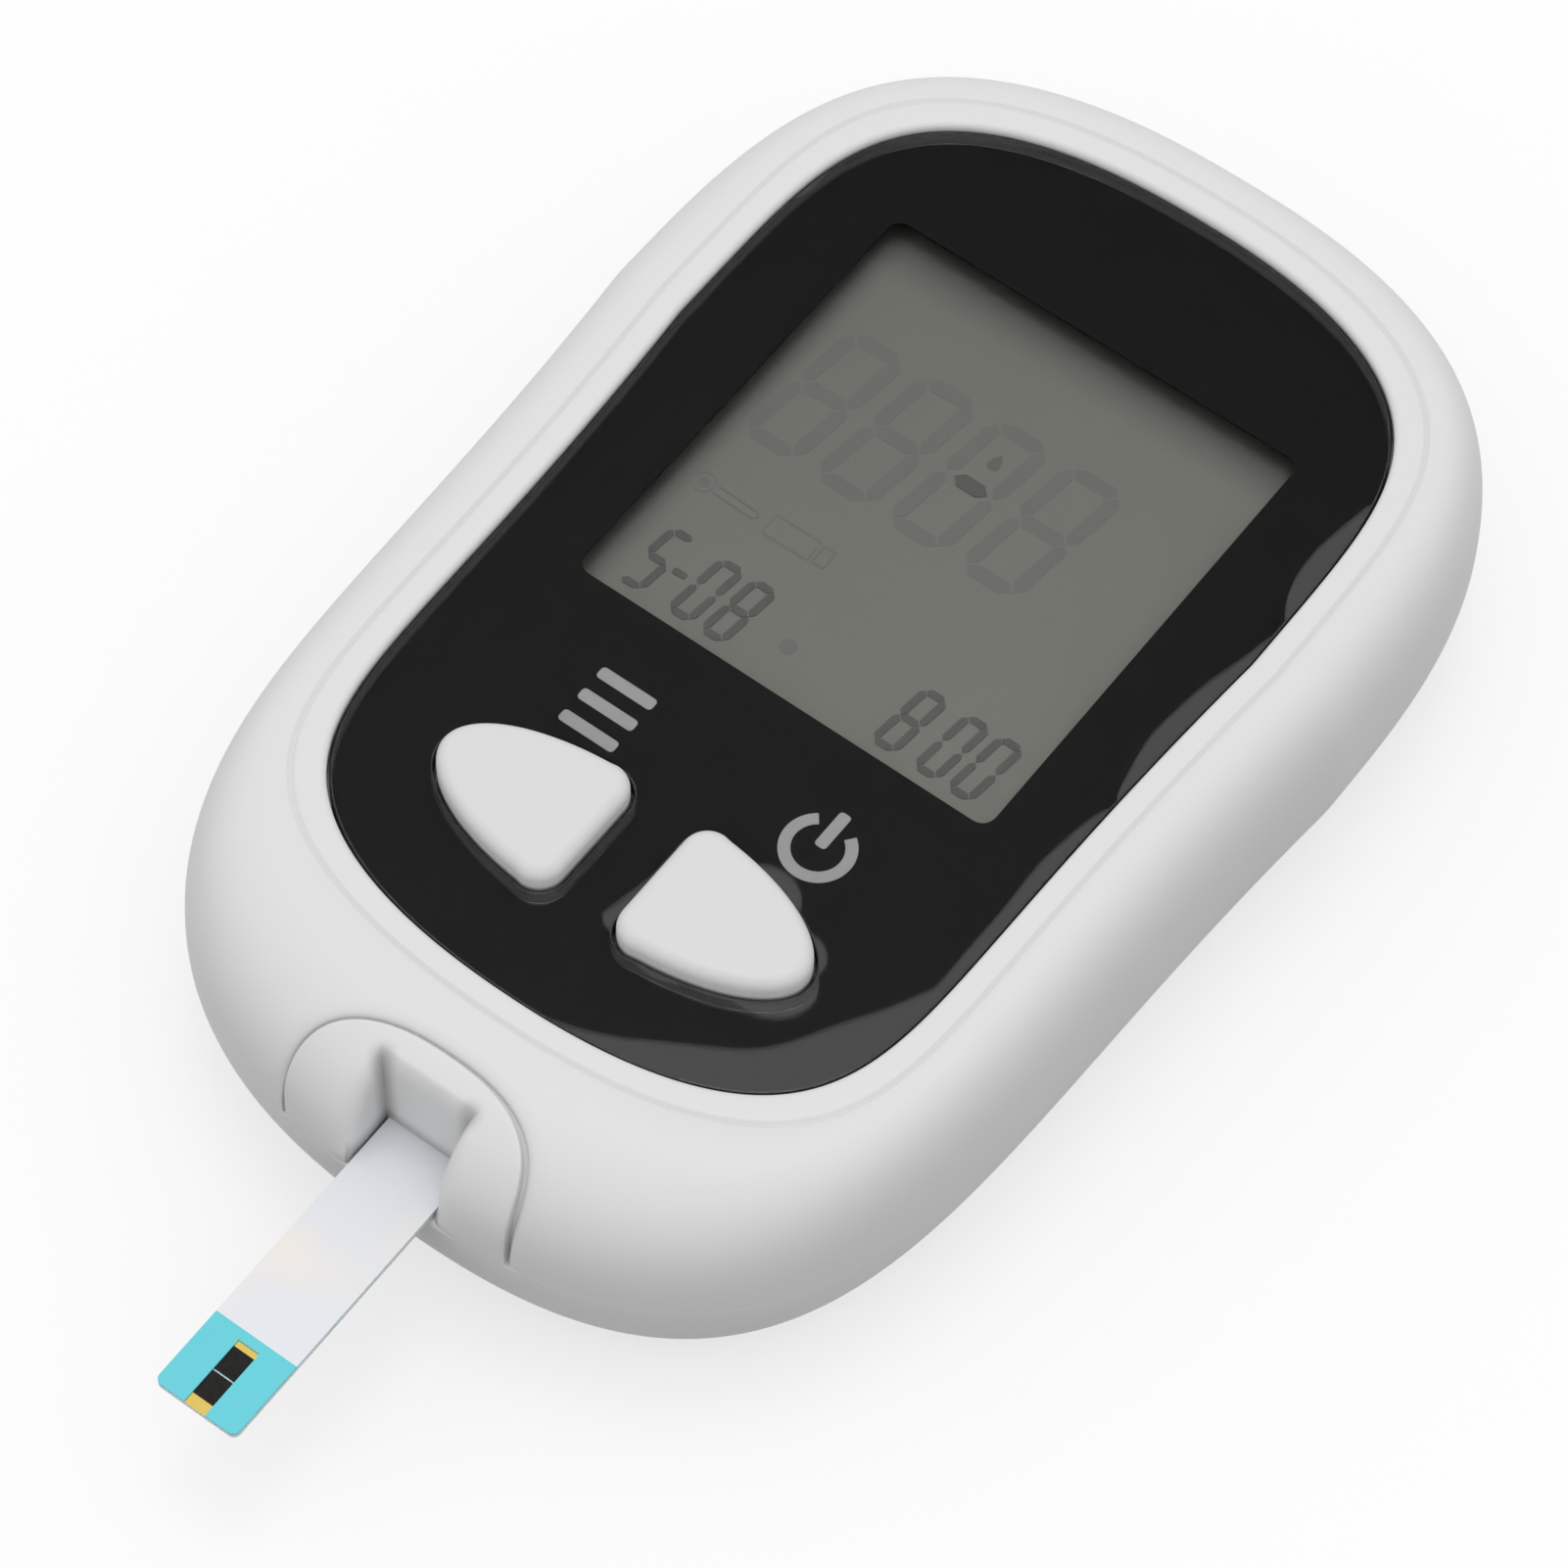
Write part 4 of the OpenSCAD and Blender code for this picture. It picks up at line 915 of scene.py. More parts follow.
class METER_OT_rear_shell(PieceOperator, bpy.types.Operator):
    """Lower shell with its rounded back, and the battery bay behind its door."""
    bl_idname = "meter.rear_shell"
    bl_label = "Rear Shell"

    COLUMNS = 420
    SILL_T = 0.6
    HINGE_BARREL = 1.1
    PIN_L = 1.3
    PIN_R = 0.6
    # Clearance round the door
    GAP = 0.25
    # How far the door's latch reaches past its opening
    LATCH = 0.15
    # Clearance beside and above the cell, and the bay's wall above that
    BAY_CLEAR = 0.3
    ABOVE_CELL = 0.7
    ROOF = 0.9
    SCREW_HEAD_R = 1.7
    COUNTERBORE_R = 2.0
    SCREW_BORE_R = 1.25
    SCOOP_R = 9.0

    def cutters(self, depth):
        """The door's opening, its hinge, the cell's bay, the contact's pocket, the fingertip scoop and the screws."""
        half = DOOR_HIGH[0] - self.PIN_L + self.GAP
        latch = DOOR_LOW[1] + self.LATCH
        hinge_y, hinge_z = DOOR_HIGH[1] - self.HINGE_BARREL, DOOR_LOW[2] + self.HINGE_BARREL
        ring = self.HINGE_BARREL + self.GAP
        cell_r = CELL_HIGH[0]
        cell_y = (CELL_LOW[1] + CELL_HIGH[1]) / 2
        roof = CELL_HIGH[2] + self.ABOVE_CELL
        plate_top = DOOR_LOW[2] + 1.3
        tools = [
            box_tool((-half, latch - self.GAP, -1), (half, hinge_y, depth)),
            box_tool((-half, hinge_y - ring, -1), (half, hinge_y + ring, hinge_z + ring)),
            round_tool((0, cell_y, -0.5), cell_r + self.BAY_CLEAR, roof + 0.5, sides=128),
            round_tool((-half - self.PIN_L - 0.1, hinge_y, hinge_z), self.PIN_R + 0.08,
                       2 * half + 2 * self.PIN_L + 0.2, axis="X", sides=48),
            box_tool((cell_r - 0.5, cell_y - 2.8, plate_top + 0.1), (cell_r + 1.6, cell_y + 2.8, roof + 3)),
            ball_tool((0, latch - 1.2, 0.9 - self.SCOOP_R), self.SCOOP_R),
        ]
        for x in (self.SCREW_HEAD_R - SCREW_HIGH[0], SCREW_HIGH[0] - self.SCREW_HEAD_R):
            for y in (SCREW_LOW[1] + self.SCREW_HEAD_R, SCREW_HIGH[1] - self.SCREW_HEAD_R):
                tools.append(round_tool((x, y, -1), self.COUNTERBORE_R, SCREW_LOW[2] + 2.2, sides=48))
                tools.append(round_tool((x, y, -0.9), self.SCREW_BORE_R, PART_Z + 0.7, sides=48))
        return tools

    def execute(self, context):
        angle = -np.arange(self.COLUMNS) * 2 * math.pi / self.COLUMNS
        quarter = np.linspace(0, math.pi / 2, 25)
        outline = reach(BODY, angle)
        near_port = ease(2 - np.abs(outline * np.sin(angle)) / NOTCH_HALF) * (np.cos(angle) > 0)
        seam = mix(size("seam_radius"), size("port_lead"), near_port)
        outside = back_ring(angle, quarter, BODY, PART_Z, 0.0)
        edge = np.stack([on_ray(angle, outline - seam * (1 - math.cos(t)), PART_Z - seam * (1 - math.sin(t)))
                         for t in np.linspace(math.pi / 2, 0, 7)])
        outside = outside[outside[:, 0, 2] < PART_Z - size("port_lead") * 1.2]
        inside = back_ring(angle, quarter[::2], BODY.grown(-WALL), PART_Z, WALL)
        shrink = np.array((0.75, 0.5, 0.25, 0.0))[:, None, None]
        floor = outside[-1] * shrink
        floor[..., 2] = 0.0
        lining = inside[-1] * shrink[::-1]
        lining[..., 2] = WALL
        grid = np.concatenate((lining, inside[::-1], edge, outside, floor))
        faces = grid_faces(grid.shape[0], grid.shape[1], ring_columns=True)
        shell = make_piece("rear_shell", grid, faces, finishes()["housing"])
        cut(shell, self.cutters(WALL + 0.1))
        bay = self.bay()
        sill = plate("port_sill", self.sill_line, [], PART_Z - self.SILL_T, PART_Z - 0.01, 0.04,
                     finishes()["housing"])
        for piece in (shell, bay, sill):
            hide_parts("rear_housing")
        return {"FINISHED"}

    @staticmethod
    def sill_line(grow):
        """Outline of the sill under the port: the arch drawn in by its gap, closed along the shell's inner face."""
        arc = np.column_stack(arch_line(grow - ARCH_GAP, 61))
        angle = np.arctan2(np.linspace(arc[-1, 0], arc[0, 0], 31), -PORT_Y)
        edge = on_ray(angle, reach(BODY.grown(grow - WALL / 2), angle), 0.0)[:, :2]
        return np.concatenate((arc[arc[:, 1] > edge[:, 1].max() + 0.3], edge))

    def bay(self):
        """The block that holds the cell and the hinge pins."""
        half, wall = DOOR_HIGH[0] + 1.55, self.GAP + 1.2
        low = (-half, DOOR_LOW[1] + self.LATCH - wall, WALL - 0.2)
        high = (half, DOOR_HIGH[1] + wall, CELL_HIGH[2] + self.ABOVE_CELL + self.ROOF)
        block = make_piece("battery_bay", *box_mesh(low, high), finishes()["housing"])
        cut(block, self.cutters(DOOR_LOW[2] + 1.45))
        return block


class METER_OT_port_insert(PieceOperator, bpy.types.Operator):
    """The arched insert round the strip port, with its rounded lobes and notch."""
    bl_idname = "meter.port_insert"
    bl_label = "Port Insert"

    # Columns along each side of the notch and along its back
    LEG = 90
    BACK = 61
    EDGE_ROWS = 6
    LOBE_ROWS = 14
    MIDDLE_ROWS = 8
    # Height over which the insert's feet sink to the rear shell's level
    FOOT_FADE = 5.0
    # Length over which the lobes' rounding widens from the notch's back towards the front
    LEAD = 4.0

    def rim_rows(self):
        """Rows in from the front shell: the gap's floor, and the insert's wall with its rounded edge."""
        gap, depth, radius = ARCH_GAP / 2, size("gap_depth"), size("insert_radius")
        rows, columns = [], 2 * self.LEG + self.BACK
        for grow in (gap - 0.01, -gap):
            angle, a = arch(grow, 0.0, 0.0, columns)
            rows.append(shoulder(angle, a) - shoulder_normal(angle, a) * depth)
        for share in 1 - np.cos(np.linspace(0, math.pi / 2, self.EDGE_ROWS)):
            angle, a = arch(-gap - radius * share, INSERT_RISE, 0.0, columns)
            drop = round_drop(share, 1.0, radius)
            rows.append(shoulder(angle, a, INSERT_RISE) - shoulder_normal(angle, a, INSERT_RISE) * drop)
        return rows, angle, a

    def notch_line(self, share):
        """One line round the notch, from its right foot over both corners to its left foot, with sharp corners,
        and out from the notch's wall by a share of the rounding's reach, which widens towards the feet."""
        corner = size("back_reach")
        x, y = NOTCH_HALF + corner * share, NOTCH_BACK + corner * share
        leg = np.linspace(ARCH_FOOT, y, 300)
        wide = mix(corner, size("lobe_reach"), ease((y - leg) / self.LEAD))
        angle, a = lay(NOTCH_HALF + wide * share, leg, INSERT_RISE, 0.0, self.LEG, ends=(0,))
        across = np.linspace(x, -x, self.BACK + 2)[1:-1]
        back_angle, back_a = place_of(across, np.full(across.shape, y), INSERT_RISE)
        return np.concatenate((angle, back_angle, -angle[::-1])), np.concatenate((a, back_a, a[::-1]))

    def notch_rows(self):
        """Rows out from the notch's wall over its rounding. It drops along the shoulder's normal at the feet and
        straight down at the back, where it is deepest, so both roundings meet in a crease at each corner."""
        up_leg = np.linspace(0, 1, self.LEG)
        far = np.concatenate((up_leg, np.ones(self.BACK), up_leg[::-1]))
        deep = mix(size("lobe_drop"), size("back_drop"), ease(far)) * mix(0.4, 1.0, ease(far * 7))
        upright = ease(far * 2 - 1)[:, None]
        rows = []
        for share in 1 - np.cos(np.linspace(0, math.pi / 2, self.LOBE_ROWS)):
            angle, a = self.notch_line(share)
            way = mix(shoulder_normal(angle, a, INSERT_RISE), np.array((0.0, 0.0, 1.0)), upright)
            rows.append(shoulder(angle, a, INSERT_RISE) - way * round_drop(share, 1.0, deep)[:, None])
        return rows, angle, a

    def execute(self, context):
        outer, outer_angle, outer_a = self.rim_rows()
        inner, inner_angle, inner_a = self.notch_rows()
        shares = np.linspace(0, 1, self.MIDDLE_ROWS + 2)[1:-1]
        middle = [shoulder(mix(outer_angle, inner_angle, s), mix(outer_a, inner_a, s), INSERT_RISE) for s in shares]
        top = np.stack(outer + middle + inner[::-1])
        # The feet sink to the rear shell's level
        around = np.arctan2(top[..., 0], -top[..., 1])
        sink = INSERT_RISE * (1 - ease((top[..., 2] - PART_Z) / self.FOOT_FADE))
        top -= shoulder_normal(around, np.zeros(around.shape)) * sink[..., None]
        top[..., 2] = np.maximum(top[..., 2], PART_Z)
        # The base lies under the top and inside the outline, and leaves the strip's slot open
        bottom = top.copy()
        over_slot = (np.abs(top[..., 0]) < SLOT_HALF) & (top[..., 1] > NOTCH_BACK - 0.01)
        bottom[..., 2] = np.where(over_slot, PART_Z + SLOT_H, PART_Z - 0.02)
        bottom[..., 2] = np.minimum(bottom[..., 2], top[..., 2])
        inside = reach(BODY, around) - 0.01 - 0.05 * (top[..., 2] - PART_Z)
        bottom[..., :2] *= np.minimum(inside / np.hypot(bottom[..., 0], bottom[..., 1]), 1)[..., None]
        grid = np.concatenate((top, bottom[::-1]))
        faces = grid_faces(grid.shape[0], grid.shape[1], ring_rows=True)
        # Both feet are closed between the top and the base
        count, width = grid.shape[:2]
        i = np.arange(len(top) - 1)[:, None]
        rung = np.concatenate((i, i + 1, count - 2 - i, count - 1 - i), axis=1) * width
        faces += rung.tolist() + (rung + width - 1).tolist()
        insert = make_piece("port_insert", grid, faces, finishes()["port_housing"], sharp=28)
        turn_outwards(insert.data)
        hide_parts("port_bezel")
        return {"FINISHED"}


class METER_OT_face(PieceOperator, bpy.types.Operator):
    """Clear sheet with inked edges, black print with the display window, and the white deck that carries them."""
    bl_idname = "meter.face"
    bl_label = "Face"

    SIDES = 360
    # Thickness of the ink on the sheet's edges
    WRAP = 0.08
    # How far the deck stands back from the display window
    REBATE = 2.2

    def edge_of(self, extra=0.0):
        """The face's outline, grown by a distance on top of an extra one."""
        angle = np.arange(self.SIDES) * 2 * math.pi / self.SIDES
        return lambda d: on_ray(angle, reach(FACE.grown(d + extra), angle), 0.0)[:, :2]

    @staticmethod
    def key_hole(side, extra=0.0):
        """The hole round a key."""
        return lambda d: key_line(KEY_GAP + extra + d) * (side, 1)

    @staticmethod
    def window(extra=0.0):
        """The display window."""
        def loop(d):
            by = extra + d
            low, high = (-WINDOW_HALF - by, WINDOW_LOW - by), (WINDOW_HALF + by, WINDOW_UP + by)
            return round_rectangle(low, high, WINDOW_R + by)
        return loop

    def execute(self, context):
        holes = [self.key_hole(-1), self.key_hole(1)]
        inner_holes = [self.key_hole(-1, self.WRAP), self.key_hole(1, self.WRAP)]
        low, high, top = PRINT_LOW[2], PRINT_HIGH[2], FACE_Z - size("sheet_edge")
        housing, foam, black, clear_sheet = (finishes()[name] for name in
                                             ("housing", "black_foam", "black_print", "face_sheet"))
        sheet = plate("face_sheet", self.edge_of(-self.WRAP), inner_holes, high + 0.02, FACE_Z, size("sheet_edge"),
                      clear_sheet)
        sheet.visible_shadow = False
        pieces = [(sheet, "face_lens", "face_sheet")]
        prints = [("black_print", self.edge_of(), holes + [self.window()], low, high, 0.01),
                  ("edge_ink", self.edge_of(), [self.edge_of(0.01 - self.WRAP)], high, top, 0.02)]
        for side, name in ((-1, "left_hole_ink"), (1, "right_hole_ink")):
            prints.append((name, self.key_hole(side, self.WRAP - 0.01), [self.key_hole(side)], high, top, 0.02))
        pieces += [(plate(*each, black, steps=1), "mask_film", "black_print") for each in prints]
        deck = plate("front_deck", self.edge_of(0.3), holes + [self.window(self.REBATE)], DECK_Z, SEAT_Z - 0.01,
                     0.05, housing, steps=1)
        liner = plate("window_foam", self.window(self.REBATE - 0.02), [self.window(self.REBATE - 0.35)],
                      POLAR_HIGH[2] + 0.01, SEAT_Z - 0.02, 0.05, foam, steps=2)
        pieces += [(deck, "front_housing", "housing"), (liner, "lcd_gasket", "black_foam")]
        for piece, node, slot in pieces:
            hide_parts(node)
        return {"FINISHED"}


class METER_OT_display(PieceOperator, bpy.types.Operator):
    """Lit and unlit segments of the display, as thin prints on its upper film."""
    bl_idname = "meter.display"
    bl_label = "Display"

    # Which of the segments a to g each figure lights
    FIGURES = {"5": "acdfg", "0": "abcdef", "8": "abcdefg"}
    # Offset of every figure, then the small figures with their x, and the large ones' x
    SHIFT = np.array((-0.149, 0.161))
    SMALL = ((-12.65, "5"), (-8.75, "0"), (-6.15, "8"), (7.25, "8"), (10.5, "0"), (13.1, "0"))
    SMALL_Y = -5.0
    LARGE = (-11.8, -6.0, -0.25, 5.55)
    LARGE_Y = 11.6
    # The large figure whose middle segment is lit
    LIT = -0.25

    @staticmethod
    def segments(centre, width, height, stroke, slant, names):
        """Seven-segment strokes: hexagons with pointed ends, sheared by the slant."""
        half_w, half_h = (width - stroke) / 2, (height - stroke) / 2
        gap = stroke * 0.09
        place = {"a": (0, half_h, 0), "g": (0, 0, 0), "d": (0, -half_h, 0), "f": (-half_w, half_h / 2, 1),
                 "b": (half_w, half_h / 2, 1), "e": (-half_w, -half_h / 2, 1), "c": (half_w, -half_h / 2, 1)}
        shapes = []
        for name in names:
            x, y, upright = place[name]
            reach_out = (half_h / 2 if upright else half_w) - gap
            side = stroke / 2
            hexagon = np.array(((reach_out, 0), (reach_out - side, side), (side - reach_out, side),
                                (-reach_out, 0), (side - reach_out, -side), (reach_out - side, -side)))
            if upright:
                hexagon = hexagon[:, ::-1] * (-1, 1)
            hexagon = hexagon + (x, y)
            hexagon[:, 0] += hexagon[:, 1] * math.tan(slant)
            shapes.append(hexagon + centre)
        return shapes

    @staticmethod
    def drop(centre, half_w, height, sides=28):
        """A drop: 1.3 half_w sin(t) sin(t / 2) ^ 1.6 across, height / 2 cos(t) up."""
        turn = np.arange(sides) * 2 * math.pi / sides
        across = half_w * 1.3 * np.sin(turn) * np.abs(np.sin(turn / 2)) ** 1.6
        return np.array(centre) + np.stack((across, height / 2 * np.cos(turn)), axis=1)[::-1]

    def marks(self, low, high):
        """Unlit marks: a thermometer, a strip with its end, and a round dot."""
        stroke = 0.16
        bulb, tip = (-14.0, 1.7), (-9.9, 1.6)
        box = round_rectangle((-8.8, 0.85), (-5.2, 2.5), 0.2)
        end = round_rectangle((-4.9, 0.95), (-4.0, 2.4), 0.2)
        stem = np.array(((bulb[0] + 0.9, bulb[1] + 0.3), (tip[0], tip[1] + 0.3), (tip[0] + 0.25, tip[1]),
                         (tip[0], tip[1] - 0.3), (bulb[0] + 0.9, bulb[1] - 0.3)))
        return together([
            band(circle(bulb, 0.75), stroke, low, high, closed=True),
            prisms([circle(bulb, 0.4)], low, high),
            band(stem, stroke, low, high),
            band(box, stroke, low, high, closed=True),
            band(end, stroke, low, high, closed=True),
            prisms([circle((-2.2, -5.1), 0.6)], low, high),
        ])

    def execute(self, context):
        shift = self.SHIFT
        lit, ghosts = [], []
        small = {"width": 2.05, "height": 5.4, "stroke": 0.56, "slant": math.radians(6)}
        for x, figure in self.SMALL:
            lit += self.segments(shift + (x, self.SMALL_Y), names=self.FIGURES[figure], **small)
        large = {"width": 4.7, "height": 11.1, "stroke": size("digit_stroke"), "slant": math.radians(6.7)}
        for x in self.LARGE:
            names = self.FIGURES["0" if x == self.LIT else "8"]
            ghosts += self.segments(shift + (x, self.LARGE_Y), names=names, **large)
        lit += self.segments(shift + (-0.15, 11.62), 3.9, 11.1, 1.1, 0.0, "g")
        z = POLAR_HIGH[2]
        low, high = z + 0.005, z + 0.02
        unlit = [prisms(ghosts, low, high), self.marks(low, high)]
        dash = shift + round_rectangle((-11.35, -5.25), (-10.3, -4.75), 0.2)
        lit = together([prisms(lit, z + 0.03, z + 0.05), prisms([dash], z + 0.03, z + 0.05)])
        pieces = (make_piece("lit_segments", *lit, finishes()["digit"]),
                  make_piece("unlit_segments", *together(unlit), finishes()["ghost"]),
                  make_piece("drop_mark", *prisms([self.drop((-0.05, 14.3), 0.5, 1.5)], low, high),
                             finishes()["mark"]))
        return {"FINISHED"}


class METER_OT_keys(PieceOperator, bpy.types.Operator):
    """The two bowed keys with their rolled edges."""
    bl_idname = "meter.keys"
    bl_label = "Keys"

    def rows(self):
        """Rows from the middle of the underside out, up the flange and wall, over the roll and in to the middle."""
        radius, crown = size("key_round"), size("key_crown")
        low, top = DECK_Z - 0.1 - FLANGE_T, KEY_HIGH[2] - crown
        turn = np.linspace(0, math.pi / 2, 13)
        wall = [(FLANGE_W, low), (FLANGE_W, low + FLANGE_T), (0, low + FLANGE_T), (0, FACE_Z - 0.6), (0, top - radius)]
        roll = [(-radius * (1 - math.cos(t)), top - radius + radius * math.sin(t)) for t in turn[1:]]
        rows = [np.column_stack((key_line(d), np.full(len(key_line(0)), z))) for d, z in wall + roll]
        middle = np.array((KEY_IN + KEY_LEN * 0.42, KEY_Y))
        for share in (0.8, 0.55, 0.3, 0.0):
            flat = middle + (key_line(-radius) - middle) * share
            rows.append(np.column_stack((flat, np.full(len(flat), top + crown * (1 - share ** 2)))))
        base = np.column_stack((np.broadcast_to(middle, flat.shape), np.full(len(flat), low)))
        return np.stack([base] + rows)

    def execute(self, context):
        grid = self.rows()
        faces = grid_faces(grid.shape[0], grid.shape[1], ring_columns=True)
        for side, name in ((-1, "left"), (1, "right")):
            piece = make_piece(name + "_key", grid * (side, 1, 1), faces, finishes()["key"], name + "_key")
            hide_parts(name + "_button")
        return {"FINISHED"}


class METER_OT_legends(PieceOperator, bpy.types.Operator):
    """Silver pictograms beside the keys: a list of three bars, and a ring with an upright bar."""
    bl_idname = "meter.legends"
    bl_label = "Legends"

    # The two marks' middles
    LIST = (-7.8, -16.4)
    STANDBY = (8.6, -16.5)

    @staticmethod
    def bar(centre, half_w, half_h, corner=5):
        """A bar with round corners."""
        return round_rectangle(np.array(centre) - (half_w, half_h), np.array(centre) + (half_w, half_h),
                               min(half_w, half_h) * 0.6, corner)

    def execute(self, context):
        low, high = PRINT_HIGH[2] + 0.002, PRINT_HIGH[2] + 0.012
        bars = [self.bar((self.LIST[0], self.LIST[1] + d), 2.15, 0.45) for d in (-1.95, 0.0, 1.95)]
        upright = [self.bar((self.STANDBY[0], self.STANDBY[1] + 1.55), 0.42, 1.45)]
        ring = band(circle(self.STANDBY, 2.1, 125, 415, 49), 0.8, low, high)
        for name, mesh in (("list_mark", prisms(bars, low, high)),
                           ("standby_mark", together([prisms(upright, low, high), ring]))):
            make_piece(name, *mesh, finishes()["legend"])
        return {"FINISHED"}


class METER_OT_battery_door(PieceOperator, bpy.types.Operator):
    """The battery door, its edges broken."""
    bl_idname = "meter.battery_door"
    bl_label = "Battery Door"

    def execute(self, context):
        mesh = frame["nodes"]["battery_door"].data.copy()
        mesh.name = "door_panel"
        work = bmesh.new()
        work.from_mesh(mesh)
        bmesh.ops.remove_doubles(work, verts=work.verts, dist=2e-6)
        bmesh.ops.dissolve_limit(work, angle_limit=math.radians(1), verts=work.verts, edges=work.edges)
        work.to_mesh(mesh)
        work.free()
        mesh.materials.clear()
        mesh.materials.append(finishes()["housing"])
        mesh.shade_smooth()
        mesh.set_sharp_from_angle(angle=math.radians(30))
        door = bpy.data.objects.new("door_panel", mesh)
        context.scene.collection.objects.link(door)
        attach(door, "door")
        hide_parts("battery_door")
        bevel = door.modifiers.new("edge", "BEVEL")
        bevel.width = 0.12 * MM
        bevel.segments = 2
        bevel.limit_method = "ANGLE"
        bevel.angle_limit = math.radians(40)
        return {"FINISHED"}


class METER_OT_node_finishes(PieceOperator, bpy.types.Operator):
    """Gives every carried-over node the finish of its slot."""
    bl_idname = "meter.node_finishes"
    bl_label = "Node Finishes"

    def execute(self, context):
        slots = {part["node"]: part["material_slot"] for part in frame["record"]["subparts"]}
        for name, node in frame["nodes"].items():
            node.data.materials.clear()
            node.data.materials.append(finishes()[slots[name]])
        for name in ("lcd_front_glass", "lcd_rear_glass"):
            frame["nodes"][name].visible_shadow = False
        return {"FINISHED"}


class METER_OT_stage(PieceOperator, bpy.types.Operator):
    """Camera, soft lamps, pale surroundings and floor, and the dark card that the glossy face mirrors."""
    bl_idname = "meter.stage"
    bl_label = "Stage"

    # The camera's lens, its angles, and its distance from the target
    LENS, SENSOR = 146.507, 36.0
    AZIMUTH, ELEVATION, ROLL = np.radians((35.577, 58.445, 1.5524))
    DISTANCE = 393.54
    TARGET = np.array((4.4235, -14.4237, 17.8))
    # Height of the dark card, and half the floor's side
    CARD_Z = 700.0
    FLOOR_HALF = 2000.0
    # Strength of the world's fill, how bright the pale surroundings look, how much of its light the floor sends up,
    # and how far the floor's shadow is lifted towards white
    FILL = 0.87
    PALE = (0.8, 0.8, 0.8, 1)
    BOUNCE = 0.10
    LIFT = 0.65
    # Each lamp's name, place, width and power. They shine at the origin
    LAMPS = (("key_lamp", (-0.10, 0.14, 1.0), 0.4, 1.2), ("fill_lamp", (0.30, -0.30, 0.95), 0.8, 0.4))

    def camera_axes(self):
        """The camera's right, up and back: back from azimuth and elevation, the others turned by the roll."""
        back = np.array((math.sin(self.AZIMUTH) * math.cos(self.ELEVATION),
                         -math.cos(self.AZIMUTH) * math.cos(self.ELEVATION), math.sin(self.ELEVATION)))
        level_right = np.cross((0, 0, 1), back)
        level_right /= np.linalg.norm(level_right)
        level_up = np.cross(back, level_right)
        right = level_right * math.cos(self.ROLL) + level_up * math.sin(self.ROLL)
        return right, np.cross(back, right), back

    def camera(self, context):
        """The camera, at its distance from the target."""
        lens = bpy.data.cameras.new("camera")
        lens.lens, lens.sensor_width, lens.clip_end = self.LENS, self.SENSOR, 10.0
        camera = bpy.data.objects.new("camera", lens)
        right, up, back = self.camera_axes()
        placed = Matrix((right, up, back)).transposed().to_4x4()
        placed.translation = Vector((self.TARGET + back * self.DISTANCE) * MM)
        camera.matrix_world = placed
        context.scene.collection.objects.link(camera)
        context.scene.camera = camera

    @staticmethod
    def lamp(context, name, place, width, power):
        """A round lamp that shines at the origin."""
        data = bpy.data.lights.new(name, "AREA")
        data.shape, data.size, data.energy = "DISK", width, power
        lamp = bpy.data.objects.new(name, data)
        lamp.location = place
        lamp.rotation_euler = (-Vector(place)).to_track_quat("-Z", "Y").to_euler()
        context.scene.collection.objects.link(lamp)

    def surroundings(self, context):
        """Pale where the camera, gloss or clear sheets see it, and a soft fill elsewhere."""
        world = bpy.data.worlds.new("surroundings")
        context.scene.world = world
        world.use_nodes = True
        nodes = Tree(world.node_tree)
        fill = world.node_tree.nodes["Background"]
        nodes.put(fill.inputs["Color"], (1, 1, 1, 1))
        nodes.put(fill.inputs["Strength"], self.FILL)
        pale = nodes.add("ShaderNodeBackground", {"Color": self.PALE, "Strength": 1.0})
        choose = nodes.add("ShaderNodeMixShader", {0: nodes.seen(), 1: fill.outputs[0], 2: pale.outputs[0]})
        nodes.put(world.node_tree.nodes["World Output"].inputs["Surface"], choose.outputs[0])

    # Where white shows in the face, as humps over the angle from -Y: in from the face's edge, and out from the
    # right-hand key
    EDGE_GLEAMS = ((31, 29, 20, 3.9, 1.6), (58, 26, 23, 1.3, 0.6), (100, 18, 21, 1.5, 0.6), (133, 11, 7, 2.1, 1.0),
                   (223, 3, 3, 0.6, 1.0))
    KEY_GLEAMS = ((287, 16, 18, 1.7, 0.7), (181, 30, 29, 1.6, 0.7), (118, 22, 18, 1.1, 0.6), (65, 38, 38, 1.7, 0.7),
                  (-25, 25, 25, 1.0, 0.8))

    def key_gleam(self):
        """Outline of the white that shows beside the right-hand key."""
        line = key_line(KEY_GAP)
        out = line - line.mean(axis=0)
        turn = np.degrees(np.arctan2(out[:, 0], -out[:, 1]))
        grow = humps(turn, self.KEY_GLEAMS) - 0.4
        return line + out / np.linalg.norm(out, axis=1, keepdims=True) * grow[:, None]

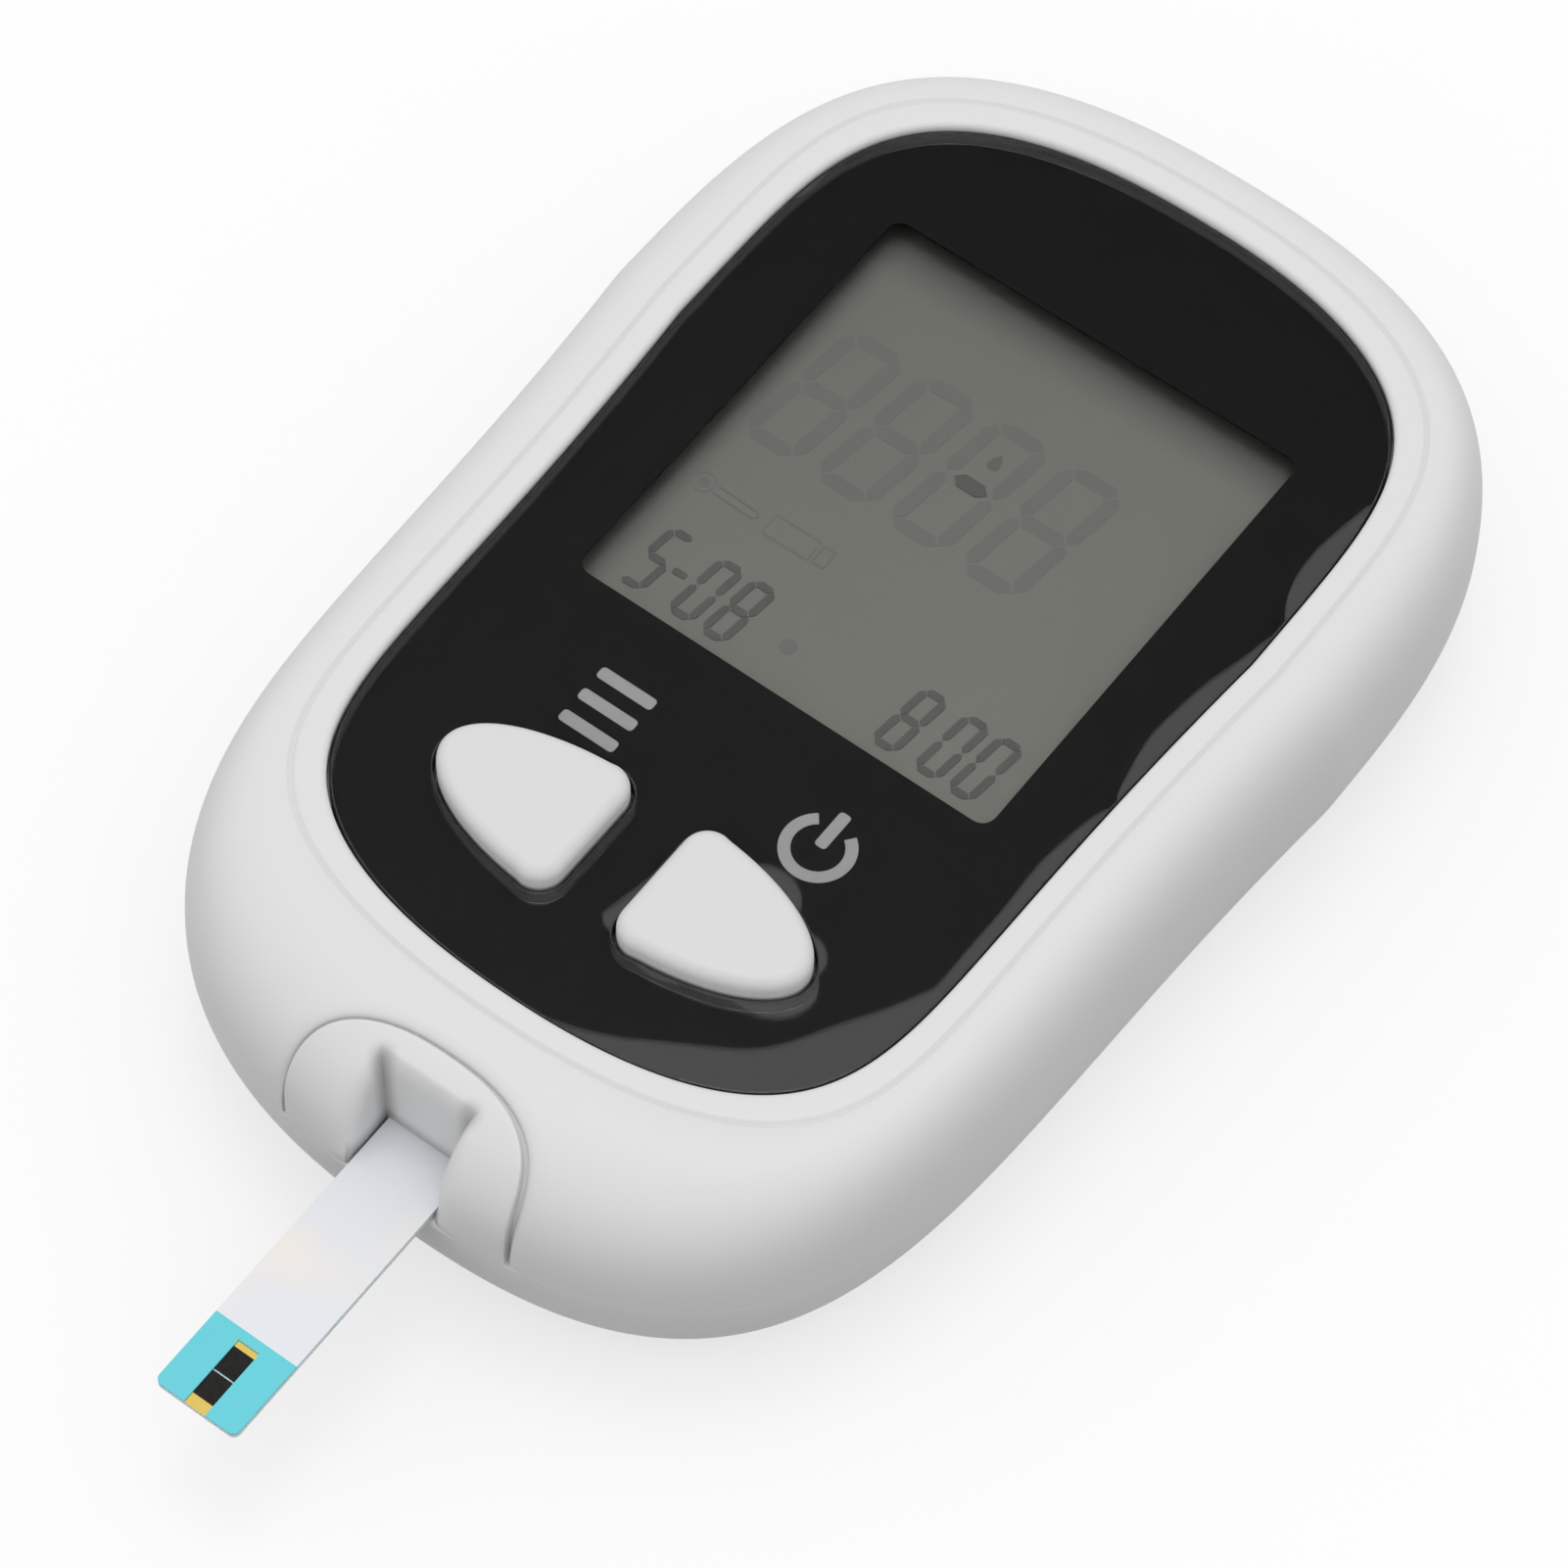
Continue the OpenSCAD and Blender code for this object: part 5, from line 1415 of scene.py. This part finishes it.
    def dark_card(self):
        """A card above the far side, where the face mirrors it: the face's outline without its white bands and
        without a rim round the right-hand key, drawn from the camera's mirror image up to the card's height."""
        _, _, back = self.camera_axes()
        eye = self.TARGET + back * self.DISTANCE
        eye[2] = 2 * FACE_Z - eye[2]
        grow = (self.CARD_Z - eye[2]) / (FACE_Z - eye[2])
        angle = np.arange(360) * 2 * math.pi / 360
        ripple = 1 + 0.06 * np.sin(11 * angle) + 0.04 * np.sin(23 * angle + 1)
        gleam = humps(np.degrees(angle), self.EDGE_GLEAMS) * ripple
        distance = reach(FACE, angle) + np.where(gleam > 0.02, -gleam, 3.0)
        loops = [(on_ray(angle, distance, 0.0)[:, :2], 0), (self.key_gleam(), len(angle))]
        flat = np.concatenate([points for points, _ in loops])
        far = eye[:2] + (flat - eye[:2]) * grow
        points = np.column_stack((far, np.full(len(far), self.CARD_Z)))
        card = add_mesh("dark_card", points, fill_loops(loops, False))
        card.data.materials.append(moulded("dark_card", (0.002, 0.002, 0.002), 1.0, Specular_IOR_Level=0.0).material)
        card.visible_camera = card.visible_diffuse = card.visible_shadow = False

    def floor(self):
        """A floor that is white to the camera, gloss and clear sheets, and greyer for the light it sends up."""
        half = self.FLOOR_HALF
        floor = add_mesh("floor", [(-half, -half, 0), (half, -half, 0), (half, half, 0), (-half, half, 0)],
                         [[0, 1, 2, 3]])
        nodes = Nodes("floor")
        seen = nodes.seen()
        pale = colour("floor")
        nodes.shade(Base_Color=nodes.blend(seen, tinted(pale, self.BOUNCE), pale), Roughness=0.9,
                    Specular_IOR_Level=0.0)
        white = nodes.add("ShaderNodeEmission", {"Color": (1, 1, 1, 1), "Strength": 1.0}).outputs[0]
        both = nodes.add("ShaderNodeMixShader", {0: nodes.work_out("MULTIPLY", seen, self.LIFT),
                                                 1: nodes.shader.outputs[0], 2: white})
        nodes.put(nodes.tree.nodes["Material Output"].inputs["Surface"], both.outputs[0])
        floor.data.materials.append(nodes.material)

    def execute(self, context):
        context.scene.view_settings.view_transform = "Standard"
        self.camera(context)
        self.surroundings(context)
        self.floor()
        self.dark_card()
        for each in self.LAMPS:
            self.lamp(context, *each)
        return {"FINISHED"}


OPERATORS = (METER_OT_node_finishes, METER_OT_front_shell, METER_OT_rear_shell, METER_OT_port_insert, METER_OT_face,
             METER_OT_display, METER_OT_keys, METER_OT_legends, METER_OT_battery_door, METER_OT_stage)


class METER_PT_panel(bpy.types.Panel):
    """Lists the meter's pieces, sizes and colours."""
    bl_idname = "METER_PT_panel"
    bl_label = "Glucose Meter"
    bl_space_type = "VIEW_3D"
    bl_region_type = "UI"
    bl_category = "Meter"

    def draw(self, context):
        column = self.layout.column()
        for operator in OPERATORS:
            column.operator(operator.bl_idname)
        for group in (context.scene.meter_sizes, context.scene.meter_colours):
            for name in group.__annotations__:
                column.prop(group, name)


CLASSES = (MeterSizes, MeterColours) + OPERATORS + (METER_PT_panel,)


def register():
    """Registers the classes and the sizes and colours."""
    for each in CLASSES:
        bpy.utils.register_class(each)
    bpy.types.Scene.meter_sizes = PointerProperty(type=MeterSizes)
    bpy.types.Scene.meter_colours = PointerProperty(type=MeterColours)


def unregister():
    """Takes back what register adds."""
    del bpy.types.Scene.meter_sizes
    del bpy.types.Scene.meter_colours
    for each in reversed(CLASSES):
        bpy.utils.unregister_class(each)


def main():
    register()
    for operator in OPERATORS:
        area, name = operator.bl_idname.split(".")
        getattr(getattr(bpy.ops, area), name)()


if __name__ == "__main__":
    main()
